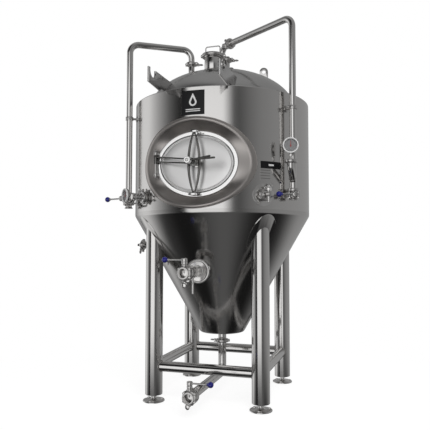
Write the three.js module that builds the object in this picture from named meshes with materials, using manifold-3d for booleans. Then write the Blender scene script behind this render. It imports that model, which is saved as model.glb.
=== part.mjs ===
// Jacketed conical fermenter (unitank) on four legs.
// Millimetres, +Z up. The origin is on the tank's axis at floor level; -Y is the front (manway) side.
// Azimuths are measured in degrees from the front (-Y) towards +X.
import * as THREE from 'three';
import { mergeVertices } from 'three/addons/utils/BufferGeometryUtils.js';
import Module from 'manifold-3d';

const wasm = await Module();
wasm.setup();

// ---------- facets ----------
const SHELL_SIDES = 24;
const LEG_SIDES = 12;
const ROUND_SIDES = 12;
const PIPE_SIDES = 10;
const BORE_SIDES = 8;

// ---------- driving dimensions ----------
const GAP = 0.3; // clearance between pieces that touch
const BODY_R = 550; // outer radius of the cladding
const BODY_H = 694; // height of the straight cladding
const CONE_H = 721; // height of the clad cone
const CONE_TIP_Z = 372; // underside of the clad cone above the floor
const CONE_TIP_R = 138;
const INSULATION_T = 80;
const SKIN_T = 2; // cladding sheet
const WALL_T = 3; // vessel sheet
const HEAD_H = 260; // rise of the dished head
const HEAD_SINK = 27; // head's base below the shoulder
const SHOULDER_RISE = 8;
const JACKET_T = 6;

const LEG_R = 50.8;
const LEG_WALL = 2.5;
const LEG_BOTTOM_Z = 40;
const LEG_INSET = 13; // leg axis inside the vessel's radius
const LEG_PLUG_T = 12;
const COLLAR_MARGIN = 14;
const COLLAR_T = 3;
const BAR_R = 30.15;
const BAR_WALL = 2;
const BAR_Z = 204;
const FOOT_R = 64;
const FOOT_T = 8;
const FOOT_STEM_R = 12;
const FOOT_TRAVEL = 30;

const OUTLET_R = 25.4; // two inch tube
const OUTLET_FACE_Z = 314;
const DUMP_Z = 118; // centre height of the dump line
const DUMP_FACE_Y = -616;
const FERRULE_T = 6.4;
const FERRULE_2IN = { tube: 25.4, wall: 1.6, flange: 32 };
const FERRULE_15IN = { tube: 19.05, wall: 1.6, flange: 25.25 };
const FERRULE_4IN = { tube: 50.8, wall: 2, flange: 59.5 };
const CLAMP_RIM = 9; // how far a clamp stands proud of its ferrules
const CLAMP_W = 22;
const CLAMP_CLEAR = 2.3;
const GASKET_GAP = 2; // between the faces of two ferrules
const DISC_CLEAR = 1; // butterfly disc inside its bore

const MANWAY_UP = 274; // manway centre above the cone's top edge
const NECK_OUT = 21; // neck's front plane in front of the vessel wall
const NECK_A = 240.5; // half width of the oval neck
const NECK_B = 185; // half height
const NECK_RIM = 23.5;
const FLARE_A = 333.5;
const FLARE_B = 252;
const DOOR_CLEAR = 2.5;
const DOOR_T = 8;
const DOOR_SINK = 2;
const GASKET_T = 6;
const SEAT_T = 5;
const SEAT_W = 15;
const STUD_R = 7.5;
const SLEEVE_R = 12;
const HUB_REACH = 152; // front of the handle boss ahead of the neck's plane
const YOKE_GAP = 31; // back of the yoke ahead of the neck's plane
const YOKE_T = 16;
const YOKE_BOW = 32;
const HINGE_IN = 2.5; // pin inside the neck's outer edge
const HINGE_OUT = 14;
const PIN_R = 6;

const ARM_OFF = 45; // arm pipe's axis outside the cladding
const ARM_BEND = 57;
const CIP_AZ = -56.5;
const CIP_TOP_UP = 373; // top run above the shoulder
const CIP_PORT_R = 205;
const BLOW_AZ = 58.8;
const BLOW_TOP_UP = 427;
const ARM_FOOT_UP = 129; // lower ferrule above the cone's top edge
const VALVE_HALF_15 = 27;
const VALVE_HALF_2 = 30;
const RACK_Z = 771;
const RACK_CAP_OUT = 92; // port face ahead of the cone at its height
const RACK_LINE = 239; // valve's far face ahead of the port face
const SIDE_PORT_UP = 97;
const GAUGE_R = 44;
const GAUGE_DEPTH = 24;

// ---------- derived levels ----------
const VESSEL_R = BODY_R - INSULATION_T;
const CONE_TOP_Z = CONE_TIP_Z + CONE_H;
const BODY_TOP_Z = CONE_TOP_Z + BODY_H;
const HEAD_BASE_Z = BODY_TOP_Z - HEAD_SINK;
const CONE_SLOPE = (BODY_R - CONE_TIP_R) / CONE_H;
const VESSEL_KNEE_Z = CONE_TOP_Z + INSULATION_T * Math.tan(Math.atan(CONE_SLOPE) / 2);
const OUTLET_TOP_Z = CONE_TIP_Z + 20;
const VESSEL_SLOPE = (VESSEL_R - OUTLET_R) / (VESSEL_KNEE_Z - OUTLET_TOP_Z);
const LEG_XY = (VESSEL_R - LEG_INSET) * Math.SQRT1_2;
const LEG_TOP_Z = CONE_TOP_Z - 5;
const MANWAY_Z = CONE_TOP_Z + MANWAY_UP;
const NECK_Y = -(VESSEL_R + NECK_OUT);
const ARM_AXIS_R = BODY_R + ARM_OFF;
const HINGE_X = -(NECK_A - HINGE_IN);
const RACK_CAP_Y = -(CONE_TIP_R + (RACK_Z - CONE_TIP_Z) * CONE_SLOPE + RACK_CAP_OUT);
const RACK_FACE_Y = RACK_CAP_Y - RACK_LINE;
const ARM_FOOT_Z = CONE_TOP_Z + ARM_FOOT_UP;

// ---------- finishes ----------
const FINISH = {
  steel: { color: 0xb9b7b3, roughness: 0.28, metalness: 1 },
  cladding: { color: 0xa3a19e, roughness: 0.32, metalness: 1 },
  polished: { color: 0xd6d4d1, roughness: 0.15, metalness: 1 },
  cast: { color: 0x9a9894, roughness: 0.4, metalness: 1 },
  foam: { color: 0xd9c78a, roughness: 0.95, metalness: 0 },
  rubber: { color: 0xe9e7e0, roughness: 0.7, metalness: 0 },
  black: { color: 0x0b0b0c, roughness: 0.35, metalness: 0 },
  blue: { color: 0x14147a, roughness: 0.3, metalness: 0 },
  red: { color: 0xa03a32, roughness: 0.5, metalness: 0 },
};

// ---------- solid helpers ----------
const rad = THREE.MathUtils.degToRad;
const radial = (azimuth) => new THREE.Vector3(Math.sin(rad(azimuth)), -Math.cos(rad(azimuth)), 0);
const at = (azimuth, r, z) => radial(azimuth).multiplyScalar(r).setZ(z);
const vec = (x, y, z) => new THREE.Vector3(x, y, z);
const UP = vec(0, 0, 1);
const DOWN = vec(0, 0, -1);
const FRONT = vec(0, -1, 0);

/** Turns a closed three.js geometry into a manifold solid. */
function solid(geometry) {
  const bare = new THREE.BufferGeometry();
  bare.setAttribute('position', geometry.getAttribute('position').clone());
  if (geometry.index) bare.setIndex(geometry.index.clone());
  const merged = mergeVertices(bare, 1e-3);
  const index = merged.index.array;
  const kept = [];
  for (let i = 0; i < index.length; i += 3) {
    const [a, b, c] = [index[i], index[i + 1], index[i + 2]];
    if (a !== b && b !== c && c !== a) kept.push(a, b, c);
  }
  const vertProperties = new Float32Array(merged.getAttribute('position').array);
  return new wasm.Manifold(new wasm.Mesh({ numProp: 3, vertProperties, triVerts: new Uint32Array(kept) }));
}

/** Revolves a closed outline of [radius, height] pairs about +Z. */
function lathe(outline, segments = ROUND_SIDES) {
  const points = outline.map(([r, z]) => new THREE.Vector2(r, z));
  if (THREE.ShapeUtils.area(points) < 0) points.reverse();
  const onAxis = points.findIndex((p, i) => p.x === 0 && points[(i + 1) % points.length].x === 0);
  if (onAxis >= 0) points.push(...points.splice(0, onAxis + 1));
  else points.push(points[0].clone());
  return solid(new THREE.LatheGeometry(points, segments).rotateX(Math.PI / 2));
}

const disc = (r, z0, z1, segments = ROUND_SIDES) => lathe([[0, z0], [r, z0], [r, z1], [0, z1]], segments);
const ring = (inner, outer, z0, z1, segments = ROUND_SIDES) => (
  lathe([[inner, z0], [outer, z0], [outer, z1], [inner, z1]], segments));
const box = (w, d, h) => solid(new THREE.BoxGeometry(w, d, h));
const ball = (r) => solid(new THREE.SphereGeometry(r, 12, 8));

/** Extrudes a shape along +Z between two heights. */
function prism(shape, z0, z1, curveSegments = 12) {
  const options = { depth: z1 - z0, bevelEnabled: false, curveSegments };
  return solid(new THREE.ExtrudeGeometry(shape, options).translate(0, 0, z0));
}

/** Moves a solid so that its own +Z points along `direction` from `origin`, its +X towards `side`. */
function aim(piece, origin, direction, side = null) {
  const z = direction.clone().normalize();
  const hint = side ?? (Math.abs(z.z) > 0.9 ? vec(1, 0, 0) : UP);
  const y = new THREE.Vector3().crossVectors(z, hint).normalize();
  const x = new THREE.Vector3().crossVectors(y, z);
  return piece.transform(new THREE.Matrix4().makeBasis(x, y, z).setPosition(origin).toArray());
}

/** Stands a prism drawn in (along, height) upright, with its first axis along `along`. */
function upright(piece, along, origin) {
  const across = new THREE.Vector3().crossVectors(along, UP);
  return piece.transform(new THREE.Matrix4().makeBasis(along, UP, across).setPosition(origin).toArray());
}

const rod = (from, to, r, segments = 12) => (
  aim(disc(r, 0, from.distanceTo(to), segments), from, to.clone().sub(from)));
const join = (pieces) => pieces.reduce((sum, piece) => sum.add(piece));

/** A run of straights and round bends, swept with exactly one section at each end of each straight. */
class PipeRun extends THREE.Curve {
  constructor(corners, bend, arcSteps = 5) {
    super();
    this.stations = [];
    corners.forEach((corner, i) => {
      const before = corners[i - 1];
      const after = corners[i + 1];
      if (!before || !after) {
        const along = before ? corner.clone().sub(before) : after.clone().sub(corner);
        this.stations.push({ point: corner, tangent: along.normalize() });
        return;
      }
      const inward = corner.clone().sub(before).normalize();
      const outward = after.clone().sub(corner).normalize();
      const turn = inward.angleTo(outward);
      const setback = bend * Math.tan(turn / 2);
      const start = corner.clone().addScaledVector(inward, -setback);
      const middle = outward.clone().sub(inward).normalize();
      const centre = corner.clone().addScaledVector(middle, bend / Math.cos(turn / 2));
      const spin = new THREE.Vector3().crossVectors(inward, outward).normalize();
      for (let step = 0; step <= arcSteps; step += 1) {
        const angle = (turn * step) / arcSteps;
        const point = start.clone().sub(centre).applyAxisAngle(spin, angle).add(centre);
        this.stations.push({ point, tangent: inward.clone().applyAxisAngle(spin, angle) });
      }
    });
  }

  get steps() { return this.stations.length - 1; }

  getSpacedPoints() { return this.stations.map((station) => station.point.clone()); }

  getPointAt(u, target = new THREE.Vector3()) {
    return target.copy(this.stations[Math.round(u * this.steps)].point);
  }

  getTangentAt(u, target = new THREE.Vector3()) {
    return target.copy(this.stations[Math.round(u * this.steps)].tangent);
  }
}

/** A round bar swept along corner points with rounded bends. */
function sweep(corners, r, bend, sides = PIPE_SIDES, arcSteps = 3) {
  const run = new PipeRun(corners, bend, arcSteps);
  const corner = (i) => new THREE.Vector2(r, 0).rotateAround(new THREE.Vector2(), (2 * Math.PI * i) / sides);
  const section = new THREE.Shape(Array.from({ length: sides }, (_, i) => corner(i)));
  const options = { steps: run.steps, extrudePath: run, bevelEnabled: false };
  return solid(new THREE.ExtrudeGeometry(section, options));
}

/** A hollow pipe along corner points, with a flange of the given ferrule at either end. */
function pipe(corners, ferrule, bend, flangeStart = true, flangeEnd = true) {
  const bore = ferrule.tube - ferrule.wall;
  const last = corners.length - 1;
  let outer = sweep(corners, ferrule.tube, bend);
  const flange = (tip, towards) => (
    aim(disc(ferrule.flange, 0, FERRULE_T), tip, towards.clone().sub(tip)));
  if (flangeStart) outer = outer.add(flange(corners[0], corners[1]));
  if (flangeEnd) outer = outer.add(flange(corners[last], corners[last - 1]));
  const stretched = corners.map((corner) => corner.clone());
  stretched[0].addScaledVector(corners[0].clone().sub(corners[1]).normalize(), 2);
  stretched[last].addScaledVector(corners[last].clone().sub(corners[last - 1]).normalize(), 2);
  return outer.subtract(sweep(stretched, bore, bend, BORE_SIDES));
}

// ---------- scene graph ----------
const group = new THREE.Group();

/** Adds one named sub-part to the model. */
function part(name, piece, finish) {
  const data = piece.getMesh();
  const geometry = new THREE.BufferGeometry();
  geometry.setAttribute('position', new THREE.BufferAttribute(new Float32Array(data.vertProperties), 3));
  geometry.setIndex(new THREE.BufferAttribute(new Uint32Array(data.triVerts), 1));
  geometry.computeVertexNormals();
  const mesh = new THREE.Mesh(geometry, new THREE.MeshStandardMaterial(FINISH[finish]));
  mesh.name = name;
  group.add(mesh);
}

// ---------- envelopes that other pieces fit to ----------
/** Solid of revolution of the vessel's outside, grown by `grow` (negative for its cavity). */
function vesselEnvelope(grow) {
  const rise = grow * Math.tan(Math.atan(VESSEL_SLOPE) / 2);
  const outline = [
    [0, OUTLET_FACE_Z - 5],
    [OUTLET_R + grow, OUTLET_FACE_Z - 5],
    [OUTLET_R + grow, OUTLET_TOP_Z - rise],
    [VESSEL_R + grow, VESSEL_KNEE_Z - rise],
    [VESSEL_R + grow, HEAD_BASE_Z],
    [0, HEAD_BASE_Z],
  ];
  return lathe(outline, SHELL_SIDES);
}

/** Solid of the head's outside, grown by `grow`. */
function headEnvelope(grow) {
  const steps = 5;
  const arc = Array.from({ length: steps }, (_, i) => {
    const angle = (Math.PI / 2) * (i / steps);
    return [(VESSEL_R + grow) * Math.cos(angle), HEAD_BASE_Z + (HEAD_H + grow) * Math.sin(angle)];
  });
  return lathe([[0, HEAD_BASE_Z], ...arc, [0, HEAD_BASE_Z + HEAD_H + grow]], SHELL_SIDES);
}

const headHeight = (r) => HEAD_BASE_Z + HEAD_H * Math.sqrt(1 - (r / VESSEL_R) ** 2);
const coneRadius = (z) => CONE_TIP_R + (z - CONE_TIP_Z) * CONE_SLOPE;

/** Solid of the cladding's outside, grown by `grow`. */
function claddingEnvelope(grow) {
  return lathe([
    [0, CONE_TIP_Z - grow],
    [CONE_TIP_R + grow, CONE_TIP_Z - grow],
    [BODY_R + grow, CONE_TOP_Z],
    [BODY_R + grow, BODY_TOP_Z + grow],
    [VESSEL_R, BODY_TOP_Z + SHOULDER_RISE + grow],
    [0, BODY_TOP_Z + SHOULDER_RISE + grow],
  ], SHELL_SIDES);
}

/** Oval prism about the manway's axis, between two planes of constant y. */
function oval(halfWidth, halfHeight, yBack, yFront) {
  const shape = new THREE.Shape();
  shape.absellipse(0, 0, halfWidth, halfHeight, 0, Math.PI * 2, false, 0);
  const piece = prism(shape, -yBack, -yFront, SHELL_SIDES / 2);
  return aim(piece, vec(0, 0, MANWAY_Z), FRONT, vec(1, 0, 0));
}

const cavity = vesselEnvelope(-WALL_T);
const CORNERS = [
  ['front_left', -1, -1],
  ['front_right', 1, -1],
  ['rear_left', -1, 1],
  ['rear_right', 1, 1],
];

// ---------- ports ----------
const HOOK_X = 198;
const HOOK_T = 10;
const HOOK_PRONG = 16;
const HOOK_NOTCH_R = 35;
const LUG_AZ = 100;
const LUG_R = 270;
const LUG_HALF = 27;
const LUG_EYE_UP = 55;
const PORTS = {
  sample: { origin: at(41, 0, CONE_TOP_Z + SIDE_PORT_UP), direction: radial(41), reach: BODY_R + 22 },
  thermowell: { origin: at(-36, 0, CONE_TOP_Z + SIDE_PORT_UP), direction: radial(-36), reach: BODY_R + 22 },
  carbonation: { origin: vec(0, 0, CONE_TOP_Z - 178), direction: vec(-1, 0, 0), reach: BODY_R + 2 },
};
const RACK_AXIS = vec(0, 0, RACK_Z);
const CIP_PORT = at(CIP_AZ, CIP_PORT_R, 0);
const HEAD_PORTS = {
  hatch: { x: -4, y: -185, top: BODY_TOP_Z + 292, ferrule: FERRULE_4IN },
  cip: { x: CIP_PORT.x, y: CIP_PORT.y, top: BODY_TOP_Z + 281, ferrule: FERRULE_15IN },
  blowoff: { x: -9, y: 25, top: BODY_TOP_Z + 286, ferrule: FERRULE_15IN },
  relief: { x: 46, y: -50, top: BODY_TOP_Z + 306, ferrule: FERRULE_15IN },
};

/** A flanged stub that leaves the vessel along `direction`, trimmed to the cavity. */
function stub(origin, direction, start, reach, ferrule) {
  const tube = disc(ferrule.tube, start, reach).add(disc(ferrule.flange, reach - FERRULE_T, reach));
  return aim(tube, origin, direction);
}

/** An eye plate that stands radially on the head. */
function liftingLug(azimuth) {
  const base = headHeight(LUG_R) - 40;
  const eye = headHeight(LUG_R) + LUG_EYE_UP;
  const outline = new THREE.Shape();
  outline.moveTo(-LUG_HALF, base);
  outline.lineTo(LUG_HALF, base);
  outline.lineTo(LUG_HALF, eye);
  outline.absarc(0, eye, LUG_HALF, 0, Math.PI, false);
  const hole = new THREE.Path();
  hole.absarc(0, eye, 12, 0, Math.PI * 2, false);
  outline.holes.push(hole);
  return upright(prism(outline, -5, 5, 8), radial(azimuth), at(azimuth, LUG_R, 0));
}

// ---------- vessel, jacket, insulation, cladding ----------
function buildVessel() {
  const bore = (port, ferrule) => (
    aim(disc(ferrule.tube - ferrule.wall, 200, port.reach + 5), port.origin, port.direction));
  let shell = vesselEnvelope(0);
  shell = shell.add(aim(disc(FERRULE_2IN.flange, 0, FERRULE_T), vec(0, 0, OUTLET_FACE_Z), UP));
  shell = shell.add(stub(RACK_AXIS, FRONT, 200, -RACK_CAP_Y, FERRULE_4IN));
  for (const port of Object.values(PORTS)) {
    shell = shell.add(stub(port.origin, port.direction, 300, port.reach, FERRULE_15IN));
  }
  shell = shell.subtract(cavity).subtract(disc(VESSEL_R * 2, OUTLET_FACE_Z - 30, OUTLET_FACE_Z));
  shell = shell.subtract(disc(OUTLET_R - WALL_T, OUTLET_FACE_Z - 30, OUTLET_TOP_Z));
  const rackBore = disc(FERRULE_4IN.tube - FERRULE_4IN.wall, 150, 1 - RACK_CAP_Y);
  shell = shell.subtract(aim(rackBore, RACK_AXIS, FRONT));
  for (const port of Object.values(PORTS)) shell = shell.subtract(bore(port, FERRULE_15IN));
  shell = shell.subtract(oval(NECK_A + GAP, NECK_B + GAP, -VESSEL_R + 150, NECK_Y - 50));
  part('vessel_body', shell, 'steel');

  let head = headEnvelope(0).subtract(disc(VESSEL_R * 2, 0, HEAD_BASE_Z + GAP));
  for (const { x, y, top, ferrule } of Object.values(HEAD_PORTS)) {
    const neck = disc(ferrule.tube, HEAD_BASE_Z + 150, top).add(disc(ferrule.flange, top - FERRULE_T, top));
    head = head.add(neck.translate(x, y, 0));
  }
  head = head.add(liftingLug(-LUG_AZ)).add(liftingLug(LUG_AZ)).subtract(headEnvelope(-WALL_T));
  for (const { x, y, top, ferrule } of Object.values(HEAD_PORTS)) {
    head = head.subtract(disc(ferrule.tube - ferrule.wall, HEAD_BASE_Z + 100, top + 5).translate(x, y, 0));
  }
  part('top_head', head, 'cladding');

  const inner = VESSEL_R + GAP;
  const jacket = ring(inner, inner + JACKET_T, VESSEL_KNEE_Z + 60, BODY_TOP_Z - 60, SHELL_SIDES)
    .subtract(oval(NECK_A + 15, NECK_B + 15, -200, NECK_Y - 50))
    .subtract(portClearance());
  const jacketStub = (z) => aim(disc(10, VESSEL_R + 1, BODY_R + 32, 12), vec(0, 0, z), vec(0, 1, 0));
  const boreOf = (z) => aim(disc(7, VESSEL_R + 3, BODY_R + 40, 12), vec(0, 0, z), vec(0, 1, 0));
  const jacketTaps = [VESSEL_KNEE_Z + 90, BODY_TOP_Z - 90];
  part('side_cooling_jacket', join([jacket, ...jacketTaps.map(jacketStub)])
    .subtract(join(jacketTaps.map(boreOf))), 'steel');

  const coneJacket = vesselEnvelope(GAP + JACKET_T).subtract(vesselEnvelope(GAP))
    .intersect(disc(BODY_R, CONE_TIP_Z + 110, VESSEL_KNEE_Z - 230, SHELL_SIDES))
    .subtract(portClearance());
  part('cone_cooling_jacket', coneJacket, 'steel');
}

/** Clearance holes round every pipe that passes through the jacket, foam and cladding. */
function portClearance() {
  const holes = Object.values(PORTS).map(({ origin, direction, reach }) => (
    aim(disc(FERRULE_15IN.tube + GAP, 250, reach + 50), origin, direction)));
  holes.push(aim(disc(FERRULE_4IN.tube + GAP, 150, 50 - RACK_CAP_Y), RACK_AXIS, FRONT));
  return join(holes);
}

function legHoles() {
  return join(CORNERS.map(([, sx, sy]) => (
    disc(LEG_R + GAP, LEG_BOTTOM_Z - 10, LEG_TOP_Z + GAP, LEG_SIDES)
      .translate(sx * LEG_XY, sy * LEG_XY, 0))));
}

/** Standoff post and clip, welded to the cladding, that steadies an arm's upright. */
function armBracket(azimuth) {
  const z = BODY_TOP_Z - 97;
  const axis = at(azimuth, ARM_AXIS_R, 0);
  const clip = ring(FERRULE_15IN.tube + 1, FERRULE_15IN.tube + 6, z - 12, z + 12, ROUND_SIDES)
    .translate(axis.x, axis.y, 0);
  const pad = disc(24, BODY_R - 20, BODY_R + 5, ROUND_SIDES);
  const inside = disc(BODY_R - SKIN_T / 2, z - 60, z + 60, SHELL_SIDES);
  const post = disc(9, BODY_R, ARM_AXIS_R - FERRULE_15IN.tube - 2, ROUND_SIDES).add(pad);
  return clip.add(aim(post, vec(0, 0, z), radial(azimuth)).subtract(inside));
}

function buildCladding() {
  const tapHoles = join([VESSEL_KNEE_Z + 90, BODY_TOP_Z - 90].map((z) => (
    aim(disc(10 + GAP, VESSEL_R, BODY_R + 50, 12), vec(0, 0, z), vec(0, 1, 0)))));
  const foamIn = VESSEL_R + JACKET_T + 2 * GAP;
  const foamOut = BODY_R - SKIN_T - GAP;
  const manwayHole = oval(FLARE_A + GAP, FLARE_B + GAP, -200, -BODY_R - 50);
  const foam = ring(foamIn, foamOut, VESSEL_KNEE_Z + 2, BODY_TOP_Z - SKIN_T - GAP, SHELL_SIDES)
    .subtract(manwayHole).subtract(portClearance()).subtract(tapHoles);
  part('side_insulation', foam, 'foam');

  const lift = (SKIN_T + GAP) / Math.cos(Math.atan(CONE_SLOPE));
  const coneFoam = lathe([
    [OUTLET_R + 2, CONE_TIP_Z + SKIN_T + GAP],
    [CONE_TIP_R - lift, CONE_TIP_Z + SKIN_T + GAP],
    [coneRadius(VESSEL_KNEE_Z - 25) - lift, VESSEL_KNEE_Z - 25],
    [OUTLET_R + 2, VESSEL_KNEE_Z - 25],
  ], SHELL_SIDES).subtract(vesselEnvelope(JACKET_T + 2 * GAP)).subtract(legHoles()).subtract(portClearance());
  part('cone_insulation', coneFoam, 'foam');

  const side = lathe([
    [BODY_R, CONE_TOP_Z + GAP],
    [BODY_R, BODY_TOP_Z],
    [VESSEL_R + GAP, BODY_TOP_Z + SHOULDER_RISE],
    [VESSEL_R + GAP, BODY_TOP_Z + SHOULDER_RISE - SKIN_T],
    [BODY_R - SKIN_T, BODY_TOP_Z - SKIN_T],
    [BODY_R - SKIN_T, CONE_TOP_Z + GAP],
  ], SHELL_SIDES).add(armBracket(CIP_AZ)).add(armBracket(BLOW_AZ))
    .subtract(manwayHole).subtract(portClearance()).subtract(tapHoles);
  part('side_cladding', side, 'cladding');

  const drop = SKIN_T / Math.cos(Math.atan(CONE_SLOPE));
  const cone = lathe([
    [OUTLET_R + GAP, CONE_TIP_Z],
    [CONE_TIP_R, CONE_TIP_Z],
    [BODY_R, CONE_TOP_Z],
    [BODY_R - drop, CONE_TOP_Z],
    [CONE_TIP_R - drop + SKIN_T * CONE_SLOPE, CONE_TIP_Z + SKIN_T],
    [OUTLET_R + GAP, CONE_TIP_Z + SKIN_T],
  ], SHELL_SIDES).subtract(legHoles()).subtract(portClearance());
  part('cone_cladding', cone, 'cladding');
}

// ---------- stand ----------
function buildStand() {
  const rise = Math.cos(Math.atan(CONE_SLOPE));
  const layer = (grow) => lathe([
    [0, CONE_TIP_Z],
    [CONE_TIP_R + grow / rise, CONE_TIP_Z],
    [BODY_R + grow / rise, CONE_TOP_Z],
    [0, CONE_TOP_Z],
  ], SHELL_SIDES);
  const collarBand = layer(GAP + COLLAR_T).subtract(layer(GAP));
  const vessel = vesselEnvelope(GAP);
  for (const [corner, sx, sy] of CORNERS) {
    const x = sx * LEG_XY;
    const y = sy * LEG_XY;
    const collar = disc(LEG_R + COLLAR_MARGIN, CONE_TIP_Z, CONE_TOP_Z - 8, LEG_SIDES)
      .translate(x, y, 0).intersect(collarBand);
    const leg = disc(LEG_R, LEG_BOTTOM_Z, LEG_TOP_Z, LEG_SIDES).translate(x, y, 0).add(collar)
      .subtract(disc(LEG_R - LEG_WALL, LEG_BOTTOM_Z + LEG_PLUG_T, LEG_TOP_Z + 5).translate(x, y, 0))
      .subtract(disc(FOOT_STEM_R + GAP, 0, LEG_BOTTOM_Z + LEG_PLUG_T + 5).translate(x, y, 0))
      .subtract(vessel);
    part(`leg_${corner}`, leg, 'steel');

    const bolts = [0, 120, 240].map((a) => at(a, FOOT_R - 14, 0));
    const foot = lathe([
      [0, 0], [FOOT_R, 0], [FOOT_R, FOOT_T - 2], [FOOT_R - 3, FOOT_T], [22, FOOT_T + 4],
      [FOOT_STEM_R, FOOT_T + 6], [FOOT_STEM_R, LEG_BOTTOM_Z + LEG_PLUG_T + FOOT_TRAVEL + 12],
      [0, LEG_BOTTOM_Z + LEG_PLUG_T + FOOT_TRAVEL + 12],
    ]).add(disc(19, LEG_BOTTOM_Z - GAP - 12, LEG_BOTTOM_Z - GAP, 6))
      .subtract(join(bolts.map(({ x: bx, y: by }) => disc(6, -5, FOOT_T + 10, 10).translate(bx, by, 0))));
    part(`foot_${corner}`, foot.translate(x, y, 0), 'polished');
  }

  const sockets = join(CORNERS.map(([, sx, sy]) => (
    disc(LEG_R + GAP, BAR_Z - 50, BAR_Z + 50, LEG_SIDES).translate(sx * LEG_XY, sy * LEG_XY, 0))));
  const bars = [
    ['front', vec(-LEG_XY, -LEG_XY, BAR_Z), vec(LEG_XY, -LEG_XY, BAR_Z)],
    ['rear', vec(-LEG_XY, LEG_XY, BAR_Z), vec(LEG_XY, LEG_XY, BAR_Z)],
    ['left', vec(-LEG_XY, -LEG_XY, BAR_Z), vec(-LEG_XY, LEG_XY, BAR_Z)],
    ['right', vec(LEG_XY, -LEG_XY, BAR_Z), vec(LEG_XY, LEG_XY, BAR_Z)],
  ];
  for (const [side, from, to] of bars) {
    const bar = rod(from, to, BAR_R, ROUND_SIDES)
      .subtract(rod(from, to, BAR_R - BAR_WALL, ROUND_SIDES)).subtract(sockets);
    part(`crossbar_${side}`, bar, 'steel');
  }
}

// ---------- manway ----------
/** The dished surround: an oval shell from the neck out to the saddle edge on the cladding. */
function manwayFlare() {
  const steps = 4;
  const front = Array.from({ length: steps + 1 }, (_, i) => new THREE.Vector2(1 + i / steps, 1));
  const back = front.map((p) => new THREE.Vector2(p.x, 0));
  const outline = [...back, ...front.reverse(), back[0].clone()];
  const geometry = new THREE.LatheGeometry(outline, SHELL_SIDES);
  const position = geometry.getAttribute('position');
  // Both sides of the sheet are split along the same diagonals, so the twisted quads keep its thickness.
  const index = geometry.getIndex();
  for (let q = 0; q < index.count; q += 6) {
    const [a, b, d, c] = [0, 1, 2, 3].map((k) => index.getX(q + k));
    if (position.getY(a) > 0.5 && position.getY(d) > 0.5) {
      [a, b, c, a, c, d].forEach((v, k) => index.setX(q + k, v));
    }
  }
  const startA = NECK_A + GAP;
  const startB = NECK_B + GAP;
  const startY = NECK_Y + 13;
  for (let i = 0; i < position.count; i += 1) {
    const along = Math.hypot(position.getX(i), position.getZ(i)) - 1;
    const angle = Math.atan2(position.getZ(i), position.getX(i));
    const x = (startA + (FLARE_A - startA) * along) * Math.cos(angle);
    const z = (startB + (FLARE_B - startB) * along) * Math.sin(angle);
    const rimX = FLARE_A * Math.cos(angle);
    const rimY = -Math.sqrt(BODY_R ** 2 - rimX ** 2);
    const blend = 1 - Math.cos((along * Math.PI) / 2);
    const y = startY + (rimY - startY) * blend - position.getY(i) * SKIN_T;
    position.setXYZ(i, x, y, -z + MANWAY_Z);
  }
  return solid(geometry);
}

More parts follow.
